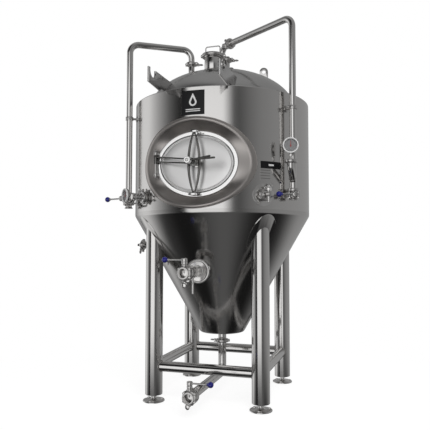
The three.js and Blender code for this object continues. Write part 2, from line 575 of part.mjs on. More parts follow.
function buildManway() {
  part('manway_surround', manwayFlare(), 'cladding');

  const seatY = NECK_Y + DOOR_SINK + DOOR_T + GASKET_T + 2 * GAP;
  const inner = { a: NECK_A - NECK_RIM, b: NECK_B - NECK_RIM };
  const lugZ = NECK_B - NECK_RIM / 2;
  const overhangY = NECK_Y - YOKE_GAP - YOKE_T - 0.5;
  const yokeLug = (sign) => {
    const height = NECK_Y - overhangY + 8;
    const post = box(8, height, 12).translate(sign * 17, overhangY - 8 + height / 2, 0);
    const overhang = box(32, 8, 12).translate(sign * 5, overhangY - 4, 0);
    return post.add(overhang).translate(0, 0, MANWAY_Z + sign * lugZ);
  };
  const hingeY = NECK_Y - HINGE_OUT;
  const knuckle = (z) => (
    disc(PIN_R + 6, z - 9, z + 9, ROUND_SIDES).add(box(16, 20, 12).translate(6, 12, z)));
  const pin = disc(PIN_R, MANWAY_Z - 70, MANWAY_Z + 82, ROUND_SIDES)
    .add(disc(PIN_R + 4, MANWAY_Z + 75, MANWAY_Z + 82, ROUND_SIDES));
  const hinge = join([pin, knuckle(MANWAY_Z - 55), knuckle(MANWAY_Z + 65)]).translate(HINGE_X, hingeY, 0);
  const neck = oval(NECK_A, NECK_B, -VESSEL_R + 150, NECK_Y)
    .subtract(oval(inner.a, inner.b, seatY, NECK_Y - 5))
    .subtract(oval(inner.a - SEAT_W, inner.b - SEAT_W, -100, NECK_Y - 5))
    .subtract(oval(inner.a, inner.b, -100, seatY + SEAT_T))
    .add(yokeLug(1)).add(yokeLug(-1))
    .add(hinge.intersect(box(200, 60, 400).translate(HINGE_X, NECK_Y - 29, MANWAY_Z)))
    .subtract(lathe([[0, 1], [VESSEL_R - WALL_T, 1], [VESSEL_R - WALL_T, 4000], [0, 4000]], SHELL_SIDES));
  part('manway_neck', neck, 'polished');

  const gasketY = NECK_Y + DOOR_SINK + DOOR_T + GAP;
  const gasket = oval(inner.a - DOOR_CLEAR, inner.b - DOOR_CLEAR, gasketY + GASKET_T, gasketY)
    .subtract(oval(inner.a - 14, inner.b - 14, gasketY + 20, gasketY - 20));
  part('manway_gasket', gasket, 'rubber');

  const doorFront = NECK_Y + DOOR_SINK;
  const studTip = NECK_Y - HUB_REACH + 40;
  const centre = vec(0, 0, MANWAY_Z);
  const door = oval(inner.a - DOOR_CLEAR, inner.b - DOOR_CLEAR, doorFront + DOOR_T, doorFront)
    .add(aim(disc(STUD_R, -doorFront - 2, -studTip, ROUND_SIDES), centre, FRONT))
    .add(aim(disc(22, -doorFront - 2, -doorFront + 6, ROUND_SIDES), centre, FRONT));
  part('manway_door', door, 'polished');

  const armBack = NECK_Y - HUB_REACH + 72;
  const armFront = armBack - 26;
  const hub = aim(ring(SLEEVE_R + 0.5, SLEEVE_R + 7, -armBack, -armFront, ROUND_SIDES), centre, FRONT);
  const armStrut = (zPin, zHub) => {
    const from = vec(HINGE_X, hingeY, MANWAY_Z + zPin);
    const to = vec(-8, (armBack + armFront) / 2, MANWAY_Z + zHub);
    const length = from.distanceTo(to);
    return aim(box(8, 18, length).translate(0, 0, length / 2), from, to.clone().sub(from), UP);
  };
  const arm = ring(0, PIN_R + 7, MANWAY_Z + 8, MANWAY_Z + 54, ROUND_SIDES).translate(HINGE_X, hingeY, 0)
    .add(armStrut(46, 12)).add(armStrut(18, -10)).add(hub)
    .subtract(disc(PIN_R + GAP, MANWAY_Z - 100, MANWAY_Z + 100, ROUND_SIDES).translate(HINGE_X, hingeY, 0))
    .subtract(aim(disc(SLEEVE_R + 0.5, -doorFront, -armFront + 50, ROUND_SIDES), centre, FRONT));
  part('manway_hinge_arm', arm, 'polished');

  const yokeBack = NECK_Y - YOKE_GAP;
  const bow = (sign) => {
    const half = NECK_B - 3;
    const curve = new THREE.Shape();
    curve.moveTo(-sign * 4, -half);
    curve.quadraticCurveTo(sign * (2 * YOKE_BOW + 4), 0, -sign * 4, half);
    curve.lineTo(sign * 5, half);
    curve.quadraticCurveTo(sign * (2 * YOKE_BOW + 15), 0, sign * 5, -half);
    return curve;
  };
  const yokeSolid = (shape) => (
    aim(prism(shape, -yokeBack, -yokeBack + YOKE_T, 10), centre, FRONT, vec(1, 0, 0)));
  const yokeMid = yokeBack - YOKE_T / 2;
  const hubPlate = aim(box(2 * YOKE_BOW + 6, 34, YOKE_T), vec(0, yokeMid, MANWAY_Z), FRONT, vec(1, 0, 0));
  const tips = [1, -1].map((sign) => (
    box(18, YOKE_T, 22).translate(0, yokeMid, MANWAY_Z + sign * (NECK_B - 14))));
  const yoke = join([yokeSolid(bow(1)), yokeSolid(bow(-1)), hubPlate, ...tips])
    .subtract(aim(disc(STUD_R + 0.5, -doorFront, -yokeBack + 60, ROUND_SIDES), centre, FRONT));
  part('manway_yoke', yoke, 'polished');

  const washerBack = yokeBack - YOKE_T - GAP;
  const washer = ring(STUD_R + 0.5, 18, -washerBack, -washerBack + 6, ROUND_SIDES);
  part('manway_thrust_washer', aim(washer, centre, FRONT), 'cast');

  const sleeveBack = washerBack - 6 - GAP;
  const bossBack = armFront - 16;
  const bossFront = NECK_Y - HUB_REACH;
  const lever = (angle, length, y) => {
    const tip = vec(Math.cos(rad(angle)) * length, y, MANWAY_Z + Math.sin(rad(angle)) * length);
    return rod(vec(0, y, MANWAY_Z), tip, 5.5);
  };
  const handle = aim(disc(SLEEVE_R, -sleeveBack, -bossBack + 4, ROUND_SIDES), centre, FRONT)
    .add(aim(disc(18, -bossBack, -bossFront, ROUND_SIDES), centre, FRONT))
    .add(lever(2, 150, bossFront + 9)).add(lever(8, 122, bossFront + 21))
    .subtract(aim(disc(STUD_R + 0.4, -sleeveBack - 5, -bossFront - 6, ROUND_SIDES), centre, FRONT));
  part('manway_handle', handle, 'cast');
}

// ---------- clamps, valves, gauges ----------
/** A two-bolt style pipe clamp: grooved band with hinge block, bolt and wing nut at `nut` (+X side). */
function clamp(ferrule, origin, direction, side) {
  const lip = ferrule.tube + 3;
  const groove = ferrule.flange + CLAMP_CLEAR;
  const outer = ferrule.flange + CLAMP_RIM;
  const half = CLAMP_W / 2;
  const slot = FERRULE_T + 2;
  const band = lathe([
    [lip, half], [outer, half], [outer, -half], [lip, -half],
    [lip, -slot], [groove, -slot], [groove, slot], [lip, slot],
  ], ROUND_SIDES);
  const bolt = rod(vec(outer + 6, -14, 0), vec(outer + 6, 34, 0), 4, 8);
  const wings = box(30, 4, 12).translate(outer + 6, 27, 0);
  const ear = join([10, -9].map((y) => box(18, 10, 12).translate(outer + 4, y, 0)));
  const hinge = box(14, 20, 12).translate(-outer - 2, 0, 0);
  const body = join([band, bolt, wings, ear, hinge])
    .subtract(disc(groove, -slot, slot, ROUND_SIDES)).subtract(disc(lip, -half - 5, half + 5, ROUND_SIDES));
  return aim(body, origin, direction, side);
}

const VALVES = {
  racking: {
    ferrule: FERRULE_2IN, half: VALVE_HALF_2, body: 38, tower: 40, rod: 111,
    centre: vec(0, RACK_FACE_Y + VALVE_HALF_2, RACK_Z), flow: FRONT, stem: UP, lever: vec(-1, 0, 0),
  },
  dump: {
    ferrule: FERRULE_2IN, half: VALVE_HALF_2, body: 38, tower: 44, rod: 116,
    centre: vec(0, DUMP_FACE_Y + VALVE_HALF_2, DUMP_Z), flow: FRONT, stem: UP, lever: vec(1, 0, 0),
  },
  cip: {
    ferrule: FERRULE_15IN, half: VALVE_HALF_15, body: 33, tower: 36, rod: 125,
    centre: at(CIP_AZ, ARM_AXIS_R, ARM_FOOT_Z - FERRULE_T / 2 - VALVE_HALF_15),
    flow: DOWN, stem: vec(-0.35, -0.94, 0).normalize(), lever: vec(-0.94, 0.35, 0).normalize(),
  },
  blowoff: {
    ferrule: FERRULE_15IN, half: VALVE_HALF_15, body: 33, tower: 36, rod: 90,
    centre: at(BLOW_AZ, ARM_AXIS_R, ARM_FOOT_Z - FERRULE_T / 2 - VALVE_HALF_15),
    flow: DOWN, stem: vec(0.35, -0.94, 0).normalize(), lever: vec(-0.94, -0.35, 0).normalize(),
  },
};

function buildValve(name, { ferrule, half, body, tower, rod: rodLength, centre, flow, stem, lever }) {
  const bore = ferrule.tube - ferrule.wall;
  const towerTop = body + tower;
  const shell = lathe([
    [0, -half], [ferrule.flange, -half], [ferrule.flange, -half + 5], [ferrule.tube, -half + 8],
    [body, -12], [body, 12], [ferrule.tube, half - 8], [ferrule.flange, half - 5],
    [ferrule.flange, half], [0, half],
  ], ROUND_SIDES);
  const boss = aim(disc(14, body - 8, body + 8, ROUND_SIDES), vec(0, 0, 0), vec(1, 0, 0));
  const casing = shell.add(boss).subtract(disc(bore, -half - 5, half + 5, ROUND_SIDES))
    .subtract(aim(disc(5 + GAP, 0, body + 20, 12), vec(0, 0, 0), vec(1, 0, 0)));
  part(`${name}_valve_body`, aim(casing, centre, flow, stem), 'cast');

  const plate = disc(bore - DISC_CLEAR, -1.5, 1.5, ROUND_SIDES);
  const spindle = aim(disc(5, 0, body + 12, 12), vec(0, 0, 0), vec(1, 0, 0));
  const hub = aim(disc(15, body + 8 + GAP, towerTop, ROUND_SIDES), vec(0, 0, 0), vec(1, 0, 0));
  const local = new THREE.Matrix4().makeBasis(
    stem, new THREE.Vector3().crossVectors(flow, stem), flow).transpose();
  const towards = lever.clone().transformDirection(local);
  const rodX = towerTop - 10;
  const knob = towards.clone().multiplyScalar(rodLength).setX(rodX);
  const leverRod = rod(vec(rodX, 0, 0), knob, 4.5, BORE_SIDES);
  const handle = join([plate, spindle, hub, leverRod, ball(16).translate(knob.x, knob.y, knob.z)]);
  part(`${name}_valve_handle`, aim(handle, centre, flow, stem), 'blue');
}

function buildGauge(name, centre, facing, stemFrom) {
  const cup = lathe([
    [0, -GAUGE_DEPTH], [GAUGE_R - 4, -GAUGE_DEPTH], [GAUGE_R - 2, -6], [GAUGE_R, -6], [GAUGE_R, 0],
    [GAUGE_R - 5, 0], [GAUGE_R - 5, -12], [0, -12],
  ], ROUND_SIDES).add(disc(3, -14, -9, 12));
  const body = aim(cup, centre, facing).add(stemFrom);
  part(`${name}_gauge`, body, 'polished');
  const needle = join([
    ring(3 + GAP, 7, -9, -6, ROUND_SIDES),
    disc(7, -8.7, -6, ROUND_SIDES),
    box(30, 3, 2).translate(20, 0, -7.5),
  ]);
  part(`${name}_gauge_needle`, aim(needle, centre, facing, UP), 'red');
}

// ---------- arms ----------
function buildArms() {
  const cipPort = HEAD_PORTS.cip;
  const cipTop = BODY_TOP_Z + CIP_TOP_UP;
  const cipOuter = at(CIP_AZ, ARM_AXIS_R, cipTop);
  const lift = GASKET_GAP;
  const cipArm = pipe([
    vec(cipPort.x, cipPort.y, cipPort.top + lift),
    vec(cipPort.x, cipPort.y, cipTop),
    cipOuter,
    cipOuter.clone().setZ(ARM_FOOT_Z + FERRULE_T / 2 - lift),
  ], FERRULE_15IN, ARM_BEND);
  part('cip_arm', cipArm, 'steel');

  const blowPort = HEAD_PORTS.blowoff;
  const blowTop = BODY_TOP_Z + BLOW_TOP_UP;
  const blowOuter = at(BLOW_AZ, ARM_AXIS_R, blowTop);
  const drop = vec(blowPort.x, blowPort.y, blowPort.top + lift);
  const mainFoot = blowOuter.clone().setZ(ARM_FOOT_Z + FERRULE_T / 2 - lift);
  const branchTop = vec(blowOuter.x - 1, blowOuter.y - 68, CONE_TOP_Z + 280);
  const branchCorners = [
    vec(blowOuter.x, blowOuter.y, CONE_TOP_Z + 185),
    branchTop.clone().setZ(CONE_TOP_Z + 245),
    branchTop,
  ];
  const bore = FERRULE_15IN.tube - FERRULE_15IN.wall;
  const branchBore = [...branchCorners.slice(0, 2), branchTop.clone().setZ(branchTop.z + 3)];
  const blowArm = pipe([drop, drop.clone().setZ(blowTop), blowOuter, mainFoot], FERRULE_15IN, ARM_BEND)
    .add(sweep(branchCorners, FERRULE_15IN.tube, 30))
    .add(aim(disc(FERRULE_15IN.flange, 0, FERRULE_T), branchTop, DOWN))
    .subtract(sweep(branchBore, bore, 30, BORE_SIDES))
    .subtract(disc(bore, mainFoot.z - 5, blowTop - 80, BORE_SIDES).translate(blowOuter.x, blowOuter.y, 0));
  part('blowoff_arm', blowArm, 'steel');

  const sprayZ = headHeight(CIP_PORT_R) - 120;
  const sprayRod = disc(9, sprayZ + 20, cipPort.top - 4, 12).add(ball(30).translate(0, 0, sprayZ))
    .subtract(disc(6, sprayZ, cipPort.top + 5, 12));
  part('spray_ball', sprayRod.translate(cipPort.x, cipPort.y, 0), 'polished');

  const gaugeCentre = vec(branchTop.x, branchTop.y, branchTop.z + 90);
  const cap = disc(FERRULE_15IN.flange, lift, lift + FERRULE_T)
    .add(disc(6, lift + 2, 90 - GAUGE_R + 10, 12)).translate(branchTop.x, branchTop.y, branchTop.z);
  buildGauge('blowoff', gaugeCentre.clone().addScaledVector(radial(10), 8), radial(10), cap);

  const cipFoot = at(CIP_AZ, ARM_AXIS_R, ARM_FOOT_Z - FERRULE_T / 2 - 2 * VALVE_HALF_15 - lift);
  const cipGauge = vec(cipFoot.x + 30, cipFoot.y - 104, ARM_FOOT_Z - 17);
  const spool = ring(bore, FERRULE_15IN.flange, -FERRULE_T, 0).translate(cipFoot.x, cipFoot.y, cipFoot.z)
    .add(ring(bore, FERRULE_15IN.tube, -22, 0).translate(cipFoot.x, cipFoot.y, cipFoot.z))
    .add(ring(bore, FERRULE_15IN.flange, -22 - FERRULE_T, -22).translate(cipFoot.x, cipFoot.y, cipFoot.z));
  const reach = vec(cipGauge.x, cipGauge.y, cipFoot.z - 14);
  const outward = reach.clone().sub(cipFoot).setZ(0).normalize();
  const legStart = cipFoot.clone().setZ(reach.z).addScaledVector(outward, bore + 1);
  const gaugeLeg = sweep([legStart, reach, cipGauge.clone().setZ(cipGauge.z - GAUGE_R + 8)], 6, 10);
  buildGauge('cip', cipGauge.clone().addScaledVector(radial(-42), 8), radial(-42), spool.add(gaugeLeg));
}

// ---------- outlets ----------
function buildOutlets() {
  const dump = pipe([
    vec(0, 0, OUTLET_FACE_Z - GASKET_GAP),
    vec(0, 0, DUMP_Z),
    vec(0, DUMP_FACE_Y + 2 * VALVE_HALF_2 + GASKET_GAP, DUMP_Z),
  ], FERRULE_2IN, ARM_BEND);
  part('dump_pipe', dump, 'steel');

  const armEnd = RACK_FACE_Y + 2 * VALVE_HALF_2 + GASKET_GAP;
  const dipCorner = vec(0, -140, RACK_Z);
  const cap = aim(disc(FERRULE_4IN.flange, GASKET_GAP, GASKET_GAP + FERRULE_T)
    .add(disc(38, 4, 12))
    .subtract(disc(FERRULE_2IN.tube + 1, -5, 60)), vec(0, RACK_CAP_Y, RACK_Z), FRONT);
  part('racking_cap', cap, 'polished');

  const dipEnd = vec(0, -140, RACK_Z - 60);
  const tube = pipe([vec(0, armEnd, RACK_Z), dipCorner, dipEnd], FERRULE_2IN, 34, true, false);
  const lever = rod(vec(0, -541, RACK_Z - FERRULE_2IN.tube + 2), vec(0, -541, RACK_Z - 116), 5.5)
    .add(aim(ring(FERRULE_2IN.tube - 0.5, FERRULE_2IN.tube + 7, -8, 8), vec(0, -541, RACK_Z), FRONT));
  part('racking_arm', tube.add(lever), 'polished');
}

// ---------- small side fittings ----------
function buildFittings() {
  const tapAt = (port, out, z = 0) => (
    port.origin.clone().addScaledVector(port.direction, out).add(vec(0, 0, z)));
  const { sample, thermowell, carbonation } = PORTS;
  const out = sample.reach + GASKET_GAP;
  const spout = tapAt(sample, out + 40);
  const inlet = disc(FERRULE_15IN.flange, 0, FERRULE_T).add(disc(11, 0, 58, ROUND_SIDES));
  const sampleBody = aim(inlet, tapAt(sample, out), sample.direction)
    .add(disc(8, -42, 34, ROUND_SIDES).translate(spout.x, spout.y, spout.z))
    .subtract(disc(5, -50, 12, BORE_SIDES).translate(spout.x, spout.y, spout.z));
  part('sample_valve_body', sampleBody, 'polished');
  const knobAt = tapAt(sample, out + 58 + GAP);
  const knobMid = knobAt.clone().addScaledVector(sample.direction, 7);
  const sampleKnob = aim(disc(15, 0, 14, ROUND_SIDES), knobAt, sample.direction)
    .add(rod(knobMid, knobMid.clone().setZ(knobMid.z + 42), 4, BORE_SIDES));
  part('sample_valve_handle', sampleKnob, 'blue');

  const well = disc(FERRULE_15IN.flange, GASKET_GAP, GASKET_GAP + FERRULE_T).add(disc(6, -260, 20, 12))
    .add(disc(14, 6, 62, ROUND_SIDES)).add(disc(20, 50, 74, 6));
  part('thermowell', aim(well, tapAt(thermowell, thermowell.reach), thermowell.direction), 'polished');

  const stone = disc(FERRULE_15IN.flange, GASKET_GAP, GASKET_GAP + FERRULE_T)
    .add(disc(8, -60, 40, 12)).add(disc(12, -220, -60, 14));
  part('carbonation_stone', aim(stone, tapAt(carbonation, carbonation.reach), carbonation.direction), 'cast');
}

// ---------- head fittings ----------
function buildHeadFittings() {
  const { hatch, relief } = HEAD_PORTS;
  const lidZ = hatch.top + GASKET_GAP;
  const bailX = 46;
  const bail = sweep([
    vec(-bailX, 0, lidZ + 3), vec(-bailX, 0, lidZ + 60), vec(bailX, 0, lidZ + 60), vec(bailX, 0, lidZ + 3),
  ], 3.5, 10, 8, 3);
  const lid = disc(FERRULE_4IN.flange, lidZ, lidZ + FERRULE_T, ROUND_SIDES).add(bail);
  part('hatch_lid', lid.translate(hatch.x, hatch.y, 0), 'polished');

  const capZ = relief.top + GASKET_GAP;
  const cap = disc(FERRULE_15IN.flange, capZ, capZ + FERRULE_T).translate(relief.x, relief.y, 0);
  part('relief_port_cap', cap, 'polished');

  const keepOut = claddingEnvelope(GAP).add(headEnvelope(GAP));
  const tipY = -(BODY_R + 150);
  const baseZ = BODY_TOP_Z - 12;
  const topZ = BODY_TOP_Z + 83;
  const hook = new THREE.Shape();
  hook.moveTo(-VESSEL_R * 0.7, baseZ);
  hook.lineTo(-BODY_R, baseZ);
  hook.lineTo(tipY, baseZ + 12);
  hook.lineTo(tipY, topZ);
  hook.lineTo(tipY + HOOK_PRONG, topZ);
  hook.lineTo(tipY + HOOK_PRONG, baseZ + 82);
  hook.absarc(tipY + HOOK_PRONG + HOOK_NOTCH_R, baseZ + 82, HOOK_NOTCH_R, Math.PI, Math.PI * 2, false);
  hook.lineTo(tipY + HOOK_PRONG + 2 * HOOK_NOTCH_R, topZ);
  hook.lineTo(-VESSEL_R * 0.7, topZ);
  for (const [side, x] of [['left', -HOOK_X], ['right', HOOK_X]]) {
    const plate = upright(prism(hook, -HOOK_T / 2, HOOK_T / 2, 6), vec(0, 1, 0), vec(x, 0, 0));
    part(`ladder_hook_${side}`, plate.subtract(keepOut), 'steel');
  }
}

// ---------- plates ----------
function buildPlates() {
  const curvedPlate = (azimuth, width, z0, z1) => {
    const span = disc(BODY_R + GAP + 1.5, z0, z1, 96).subtract(disc(BODY_R + GAP, z0 - 5, z1 + 5, 96));
    const slab = box(width, 200, z1 - z0).translate(0, 0, (z0 + z1) / 2);
    const turned = slab.transform(new THREE.Matrix4().makeRotationZ(rad(azimuth))
      .setPosition(at(azimuth, BODY_R, 0)).toArray());
    return span.intersect(turned);
  };
  part('badge_plate', curvedPlate(0, 132, BODY_TOP_Z - 159, BODY_TOP_Z - 23), 'black');
  part('data_plate', curvedPlate(46.5, 138, CONE_TOP_Z + 180, CONE_TOP_Z + 284), 'black');
}

// ---------- clamps ----------
function buildClamps() {
  const { hatch, cip, blowoff } = HEAD_PORTS;
  const mid = GASKET_GAP / 2;
  part('outlet_clamp', clamp(FERRULE_2IN, vec(0, 0, OUTLET_FACE_Z - mid), DOWN, vec(-1, -0.3, 0)), 'cast');
  part('hatch_clamp', clamp(FERRULE_4IN, vec(hatch.x, hatch.y, hatch.top + mid), UP, vec(1, 0.2, 0)), 'cast');
  part('cip_port_clamp', clamp(FERRULE_15IN, vec(cip.x, cip.y, cip.top + mid), UP, vec(1, 0, 0)), 'cast');
  const blowJoint = vec(blowoff.x, blowoff.y, blowoff.top + mid);
  part('blowoff_port_clamp', clamp(FERRULE_15IN, blowJoint, UP, vec(-1, 0.6, 0)), 'cast');
}

buildVessel();
buildCladding();
buildStand();
buildManway();
for (const [name, valve] of Object.entries(VALVES)) buildValve(name, valve);
buildArms();
buildOutlets();
buildFittings();
buildHeadFittings();
buildPlates();
buildClamps();

export default group;
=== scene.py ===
"""A jacketed conical fermenter: smooth sheet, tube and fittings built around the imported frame.

Lengths are in millimetres until a piece is finished, when it is scaled to metres. The frame's
origin is on the tank's axis at floor level, with +Z up and the manway towards -Y.
"""

from __future__ import annotations

import logging
import math
from dataclasses import dataclass, field
from enum import Enum
from typing import Any, Iterable, Sequence

import bmesh
import bpy
from mathutils import Matrix, Vector

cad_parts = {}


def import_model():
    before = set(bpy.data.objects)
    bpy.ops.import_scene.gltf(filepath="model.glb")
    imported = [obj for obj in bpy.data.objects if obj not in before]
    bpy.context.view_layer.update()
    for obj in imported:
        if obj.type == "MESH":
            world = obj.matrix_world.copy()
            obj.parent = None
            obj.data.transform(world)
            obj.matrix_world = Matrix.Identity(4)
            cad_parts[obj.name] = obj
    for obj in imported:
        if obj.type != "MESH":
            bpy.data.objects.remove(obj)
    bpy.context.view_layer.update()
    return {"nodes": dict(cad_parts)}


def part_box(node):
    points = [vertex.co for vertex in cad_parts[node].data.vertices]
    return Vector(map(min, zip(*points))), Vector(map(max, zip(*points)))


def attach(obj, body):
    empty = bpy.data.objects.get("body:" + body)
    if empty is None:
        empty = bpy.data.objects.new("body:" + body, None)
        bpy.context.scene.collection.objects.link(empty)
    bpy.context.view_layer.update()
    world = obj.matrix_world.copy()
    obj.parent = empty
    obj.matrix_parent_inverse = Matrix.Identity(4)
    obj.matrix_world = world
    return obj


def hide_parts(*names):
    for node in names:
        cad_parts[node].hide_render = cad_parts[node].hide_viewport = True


LOG = logging.getLogger("fermenter")
MM = 0.001
TAU = math.tau
UP = Vector((0, 0, 1))
DOWN = Vector((0, 0, -1))
FRONT = Vector((0, -1, 0))
RIGHT = Vector((1, 0, 0))
TANK = "tank"
JOINT_GAP = 2.0
OVAL_STEPS = 160


# ---------- places ----------
def bearing(degrees: float, radius: float = 1.0, height: float = 0.0) -> Vector:
    """Point or direction at an angle from the front, turning towards +X.

    Args:
        degrees: Angle from -Y towards +X.
        radius: Distance from the tank's axis.
        height: Height above the floor.

    Returns:
        The point, or the unit direction when the other two are left out.
    """
    angle = math.radians(degrees)
    return Vector((math.sin(angle) * radius, -math.cos(angle) * radius, height))


def facing(origin: Vector, direction: Vector, side: Vector | None = None) -> Matrix:
    """Matrix that carries local +Z onto a direction and local +X as near as it can to a side.

    Args:
        origin: Where the local origin goes.
        direction: Where local +Z points.
        side: Where local +X should point, or None for any side.

    Returns:
        The 4 by 4 placing matrix.
    """
    z = direction.normalized()
    hint = side if side is not None else (UP if abs(z.z) < 0.9 else RIGHT)
    x = (hint - z * hint.dot(z)).normalized()
    y = z.cross(x)
    return Matrix.Translation(origin) @ Matrix((x, y, z)).transposed().to_4x4()


def rounded(
    points: Sequence[tuple[float, float]], radius: float, steps: int = 4
) -> list[tuple[float, float]]:
    """Outline with its inner corners turned into short arcs.

    Args:
        points: Corners of an open outline, of which the first and last stay sharp.
        radius: Largest trim along either side of a corner.
        steps: Segments in each arc.

    Returns:
        The outline with more points.
    """
    corners = [Vector(p) for p in points]
    smooth = [corners[0]]
    for before, corner, after in zip(corners, corners[1:], corners[2:]):
        trim = min(radius, (before - corner).length * 0.45, (after - corner).length * 0.45)
        start = corner + (before - corner).normalized() * trim
        end = corner + (after - corner).normalized() * trim
        for step in range(steps + 1):
            t = step / steps
            smooth.append(start * (1 - t) ** 2 + corner * 2 * t * (1 - t) + end * t**2)
    smooth.append(corners[-1])
    return [(p.x, p.y) for p in smooth]


# ---------- materials ----------
class Signal:
    """A shader value that takes part in Python arithmetic."""

    def __init__(self, graph: "Graph", socket: bpy.types.NodeSocket) -> None:
        """Keeps the graph that new Math nodes go into."""
        self.graph = graph
        self.socket = socket

    def _math(self, operation: str, left: Any, right: Any) -> "Signal":
        """Adds one Math node and returns its value."""
        node = self.graph.node("ShaderNodeMath", {"operation": operation}, {0: left, 1: right})
        return Signal(self.graph, node.outputs[0])

    def __add__(self, other: Any) -> "Signal":
        """Sum."""
        return self._math("ADD", self, other)

    def __radd__(self, other: Any) -> "Signal":
        """Reflected sum."""
        return self._math("ADD", other, self)

    def __sub__(self, other: Any) -> "Signal":
        """Difference."""
        return self._math("SUBTRACT", self, other)

    def __rsub__(self, other: Any) -> "Signal":
        """Reflected difference."""
        return self._math("SUBTRACT", other, self)

    def __mul__(self, other: Any) -> "Signal":
        """Product."""
        return self._math("MULTIPLY", self, other)

    def __rmul__(self, other: Any) -> "Signal":
        """Reflected product."""
        return self._math("MULTIPLY", other, self)

    def most(self, other: Any) -> "Signal":
        """The larger of two values."""
        return self._math("MAXIMUM", self, other)


class Graph:
    """Adds nodes to one shader tree."""

    def __init__(self, tree: bpy.types.NodeTree) -> None:
        """Starts from an empty tree."""
        self.tree = tree
        tree.nodes.clear()

    def node(self, kind: str, settings: dict[str, Any], inputs: dict[Any, Any]) -> bpy.types.Node:
        """Adds a node.

        Args:
            kind: Node type.
            settings: Properties set before the sockets, or "stops" for a colour ramp.
            inputs: Socket name or number, with a value, a Signal or an output socket.

        Returns:
            The new node.
        """
        made = self.tree.nodes.new(kind)
        for key, value in settings.items():
            if key == "stops":
                self._fill_ramp(made.color_ramp, value)
            else:
                setattr(made, key, value)
        for key, value in inputs.items():
            if isinstance(value, Signal):
                self.tree.links.new(value.socket, made.inputs[key])
            elif isinstance(value, bpy.types.NodeSocket):
                self.tree.links.new(value, made.inputs[key])
            else:
                made.inputs[key].default_value = value
        return made

    @staticmethod
    def _fill_ramp(ramp: bpy.types.ColorRamp, stops: Sequence[tuple[float, float]]) -> None:
        """Sets a grey ramp's stops.

        Args:
            ramp: The colour ramp.
            stops: Pairs of place and brightness.
        """
        while len(ramp.elements) > 1:
            ramp.elements.remove(ramp.elements[-1])
        ramp.elements[0].position = stops[0][0]
        ramp.elements[0].color = (stops[0][1],) * 3 + (1.0,)
        for place, level in stops[1:]:
            ramp.elements.new(place).color = (level, level, level, 1.0)

    def noise(self, scale: tuple[float, float, float], detail: float = 3.0) -> Signal:
        """Noise on object coordinates.

        Args:
            scale: Cells per metre along each axis.
            detail: Octaves.

        Returns:
            A value about 0.5.
        """
        coords = self.node("ShaderNodeTexCoord", {}, {})
        mapping = self.node("ShaderNodeMapping", {}, {"Vector": coords.outputs["Object"], "Scale": scale})
        noise = self.node(
            "ShaderNodeTexNoise",
            {"noise_dimensions": "3D"},
            {"Vector": mapping.outputs[0], "Scale": 1.0, "Detail": detail, "Roughness": 0.6},
        )
        return Signal(self, noise.outputs["Fac"])


@dataclass(frozen=True)
class Finish:
    """A surface finish: the colour, gloss and grain of one material."""

    name: str
    colour: tuple[float, float, float]
    roughness: float
    metallic: float = 1.0
    grain: tuple[float, float, float] = (40.0, 40.0, 40.0)
    grain_depth: float = 0.04
    tone: float = 0.06
    relief: float = 0.0
    fine: float = 900.0
    coat: float = 0.0
    alpha: float = 1.0

    def material(self) -> bpy.types.Material:
        """The finish as a node material, made once.

        Returns:
            The shared material.
        """
        found = bpy.data.materials.get(self.name)
        if found is not None:
            return found
        made = bpy.data.materials.new(self.name)
        made.use_nodes = True
        graph = Graph(made.node_tree)
        grain = graph.noise(self.grain)
        smudge = graph.noise((3.0, 3.0, 3.0), detail=4.0)
        rough = self.roughness + (grain - 0.5) * self.grain_depth + (smudge - 0.5) * (self.grain_depth * 0.6)
        shade = (smudge - 0.5) * self.tone + (grain - 0.5) * (self.tone * 0.7) + 0.5
        darker = tuple(c * 0.8 for c in self.colour) + (1.0,)
        lighter = tuple(min(1.0, c * 1.2) for c in self.colour) + (1.0,)
        colour = graph.node(
            "ShaderNodeMix", {"data_type": "RGBA"}, {"Factor": shade, 6: darker, 7: lighter}
        )
        inputs: dict[Any, Any] = {
            "Base Color": colour.outputs[2],
            "Roughness": rough.most(0.02),
            "Metallic": self.metallic,
            "Coat Weight": self.coat,
            "Alpha": self.alpha,
        }
        if self.relief:
            pits = graph.noise((self.fine, self.fine, self.fine), detail=2.0)
            bump = graph.node(
                "ShaderNodeBump", {}, {"Strength": self.relief, "Distance": 0.0004, "Height": pits}
            )
            inputs["Normal"] = bump.outputs[0]
        shader = graph.node("ShaderNodeBsdfPrincipled", {}, inputs)
        graph.node("ShaderNodeOutputMaterial", {}, {"Surface": shader.outputs[0]})
        made.diffuse_color = (*self.colour, 1.0)
        return made


STREAKS = (260.0, 260.0, 6.0)
SHEET = Finish("rolled_sheet", (0.655, 0.645, 0.635), 0.13, grain=STREAKS, grain_depth=0.05, tone=0.05)
CONE_SHEET = Finish("cone_sheet", (0.60, 0.59, 0.58), 0.16, grain=STREAKS, grain_depth=0.05, tone=0.06)
DISH = Finish("pressed_dish", (0.56, 0.555, 0.55), 0.2, grain=(90.0, 90.0, 30.0), grain_depth=0.05, tone=0.05)
FLARE = Finish(
    "brushed_flare", (0.55, 0.52, 0.50), 0.42, grain=(12.0, 12.0, 120.0), grain_depth=0.03, tone=0.05
)
RIM = Finish("machined_rim", (0.86, 0.85, 0.84), 0.16, grain=(200.0, 200.0, 200.0), grain_depth=0.05)
DOOR = Finish("door_plate", (0.88, 0.87, 0.86), 0.36, grain=(14.0, 14.0, 120.0), grain_depth=0.04)
TUBE = Finish("polished_tube", (0.70, 0.69, 0.68), 0.11, grain=(300.0, 300.0, 8.0), grain_depth=0.05)
BRIGHT = Finish("bright_fitting", (0.74, 0.73, 0.72), 0.19, grain_depth=0.05)
CAST = Finish("investment_cast", (0.62, 0.61, 0.60), 0.3, grain_depth=0.08, relief=0.06)
DARK_STEEL = Finish("bar_steel", (0.16, 0.155, 0.15), 0.22, grain_depth=0.08)
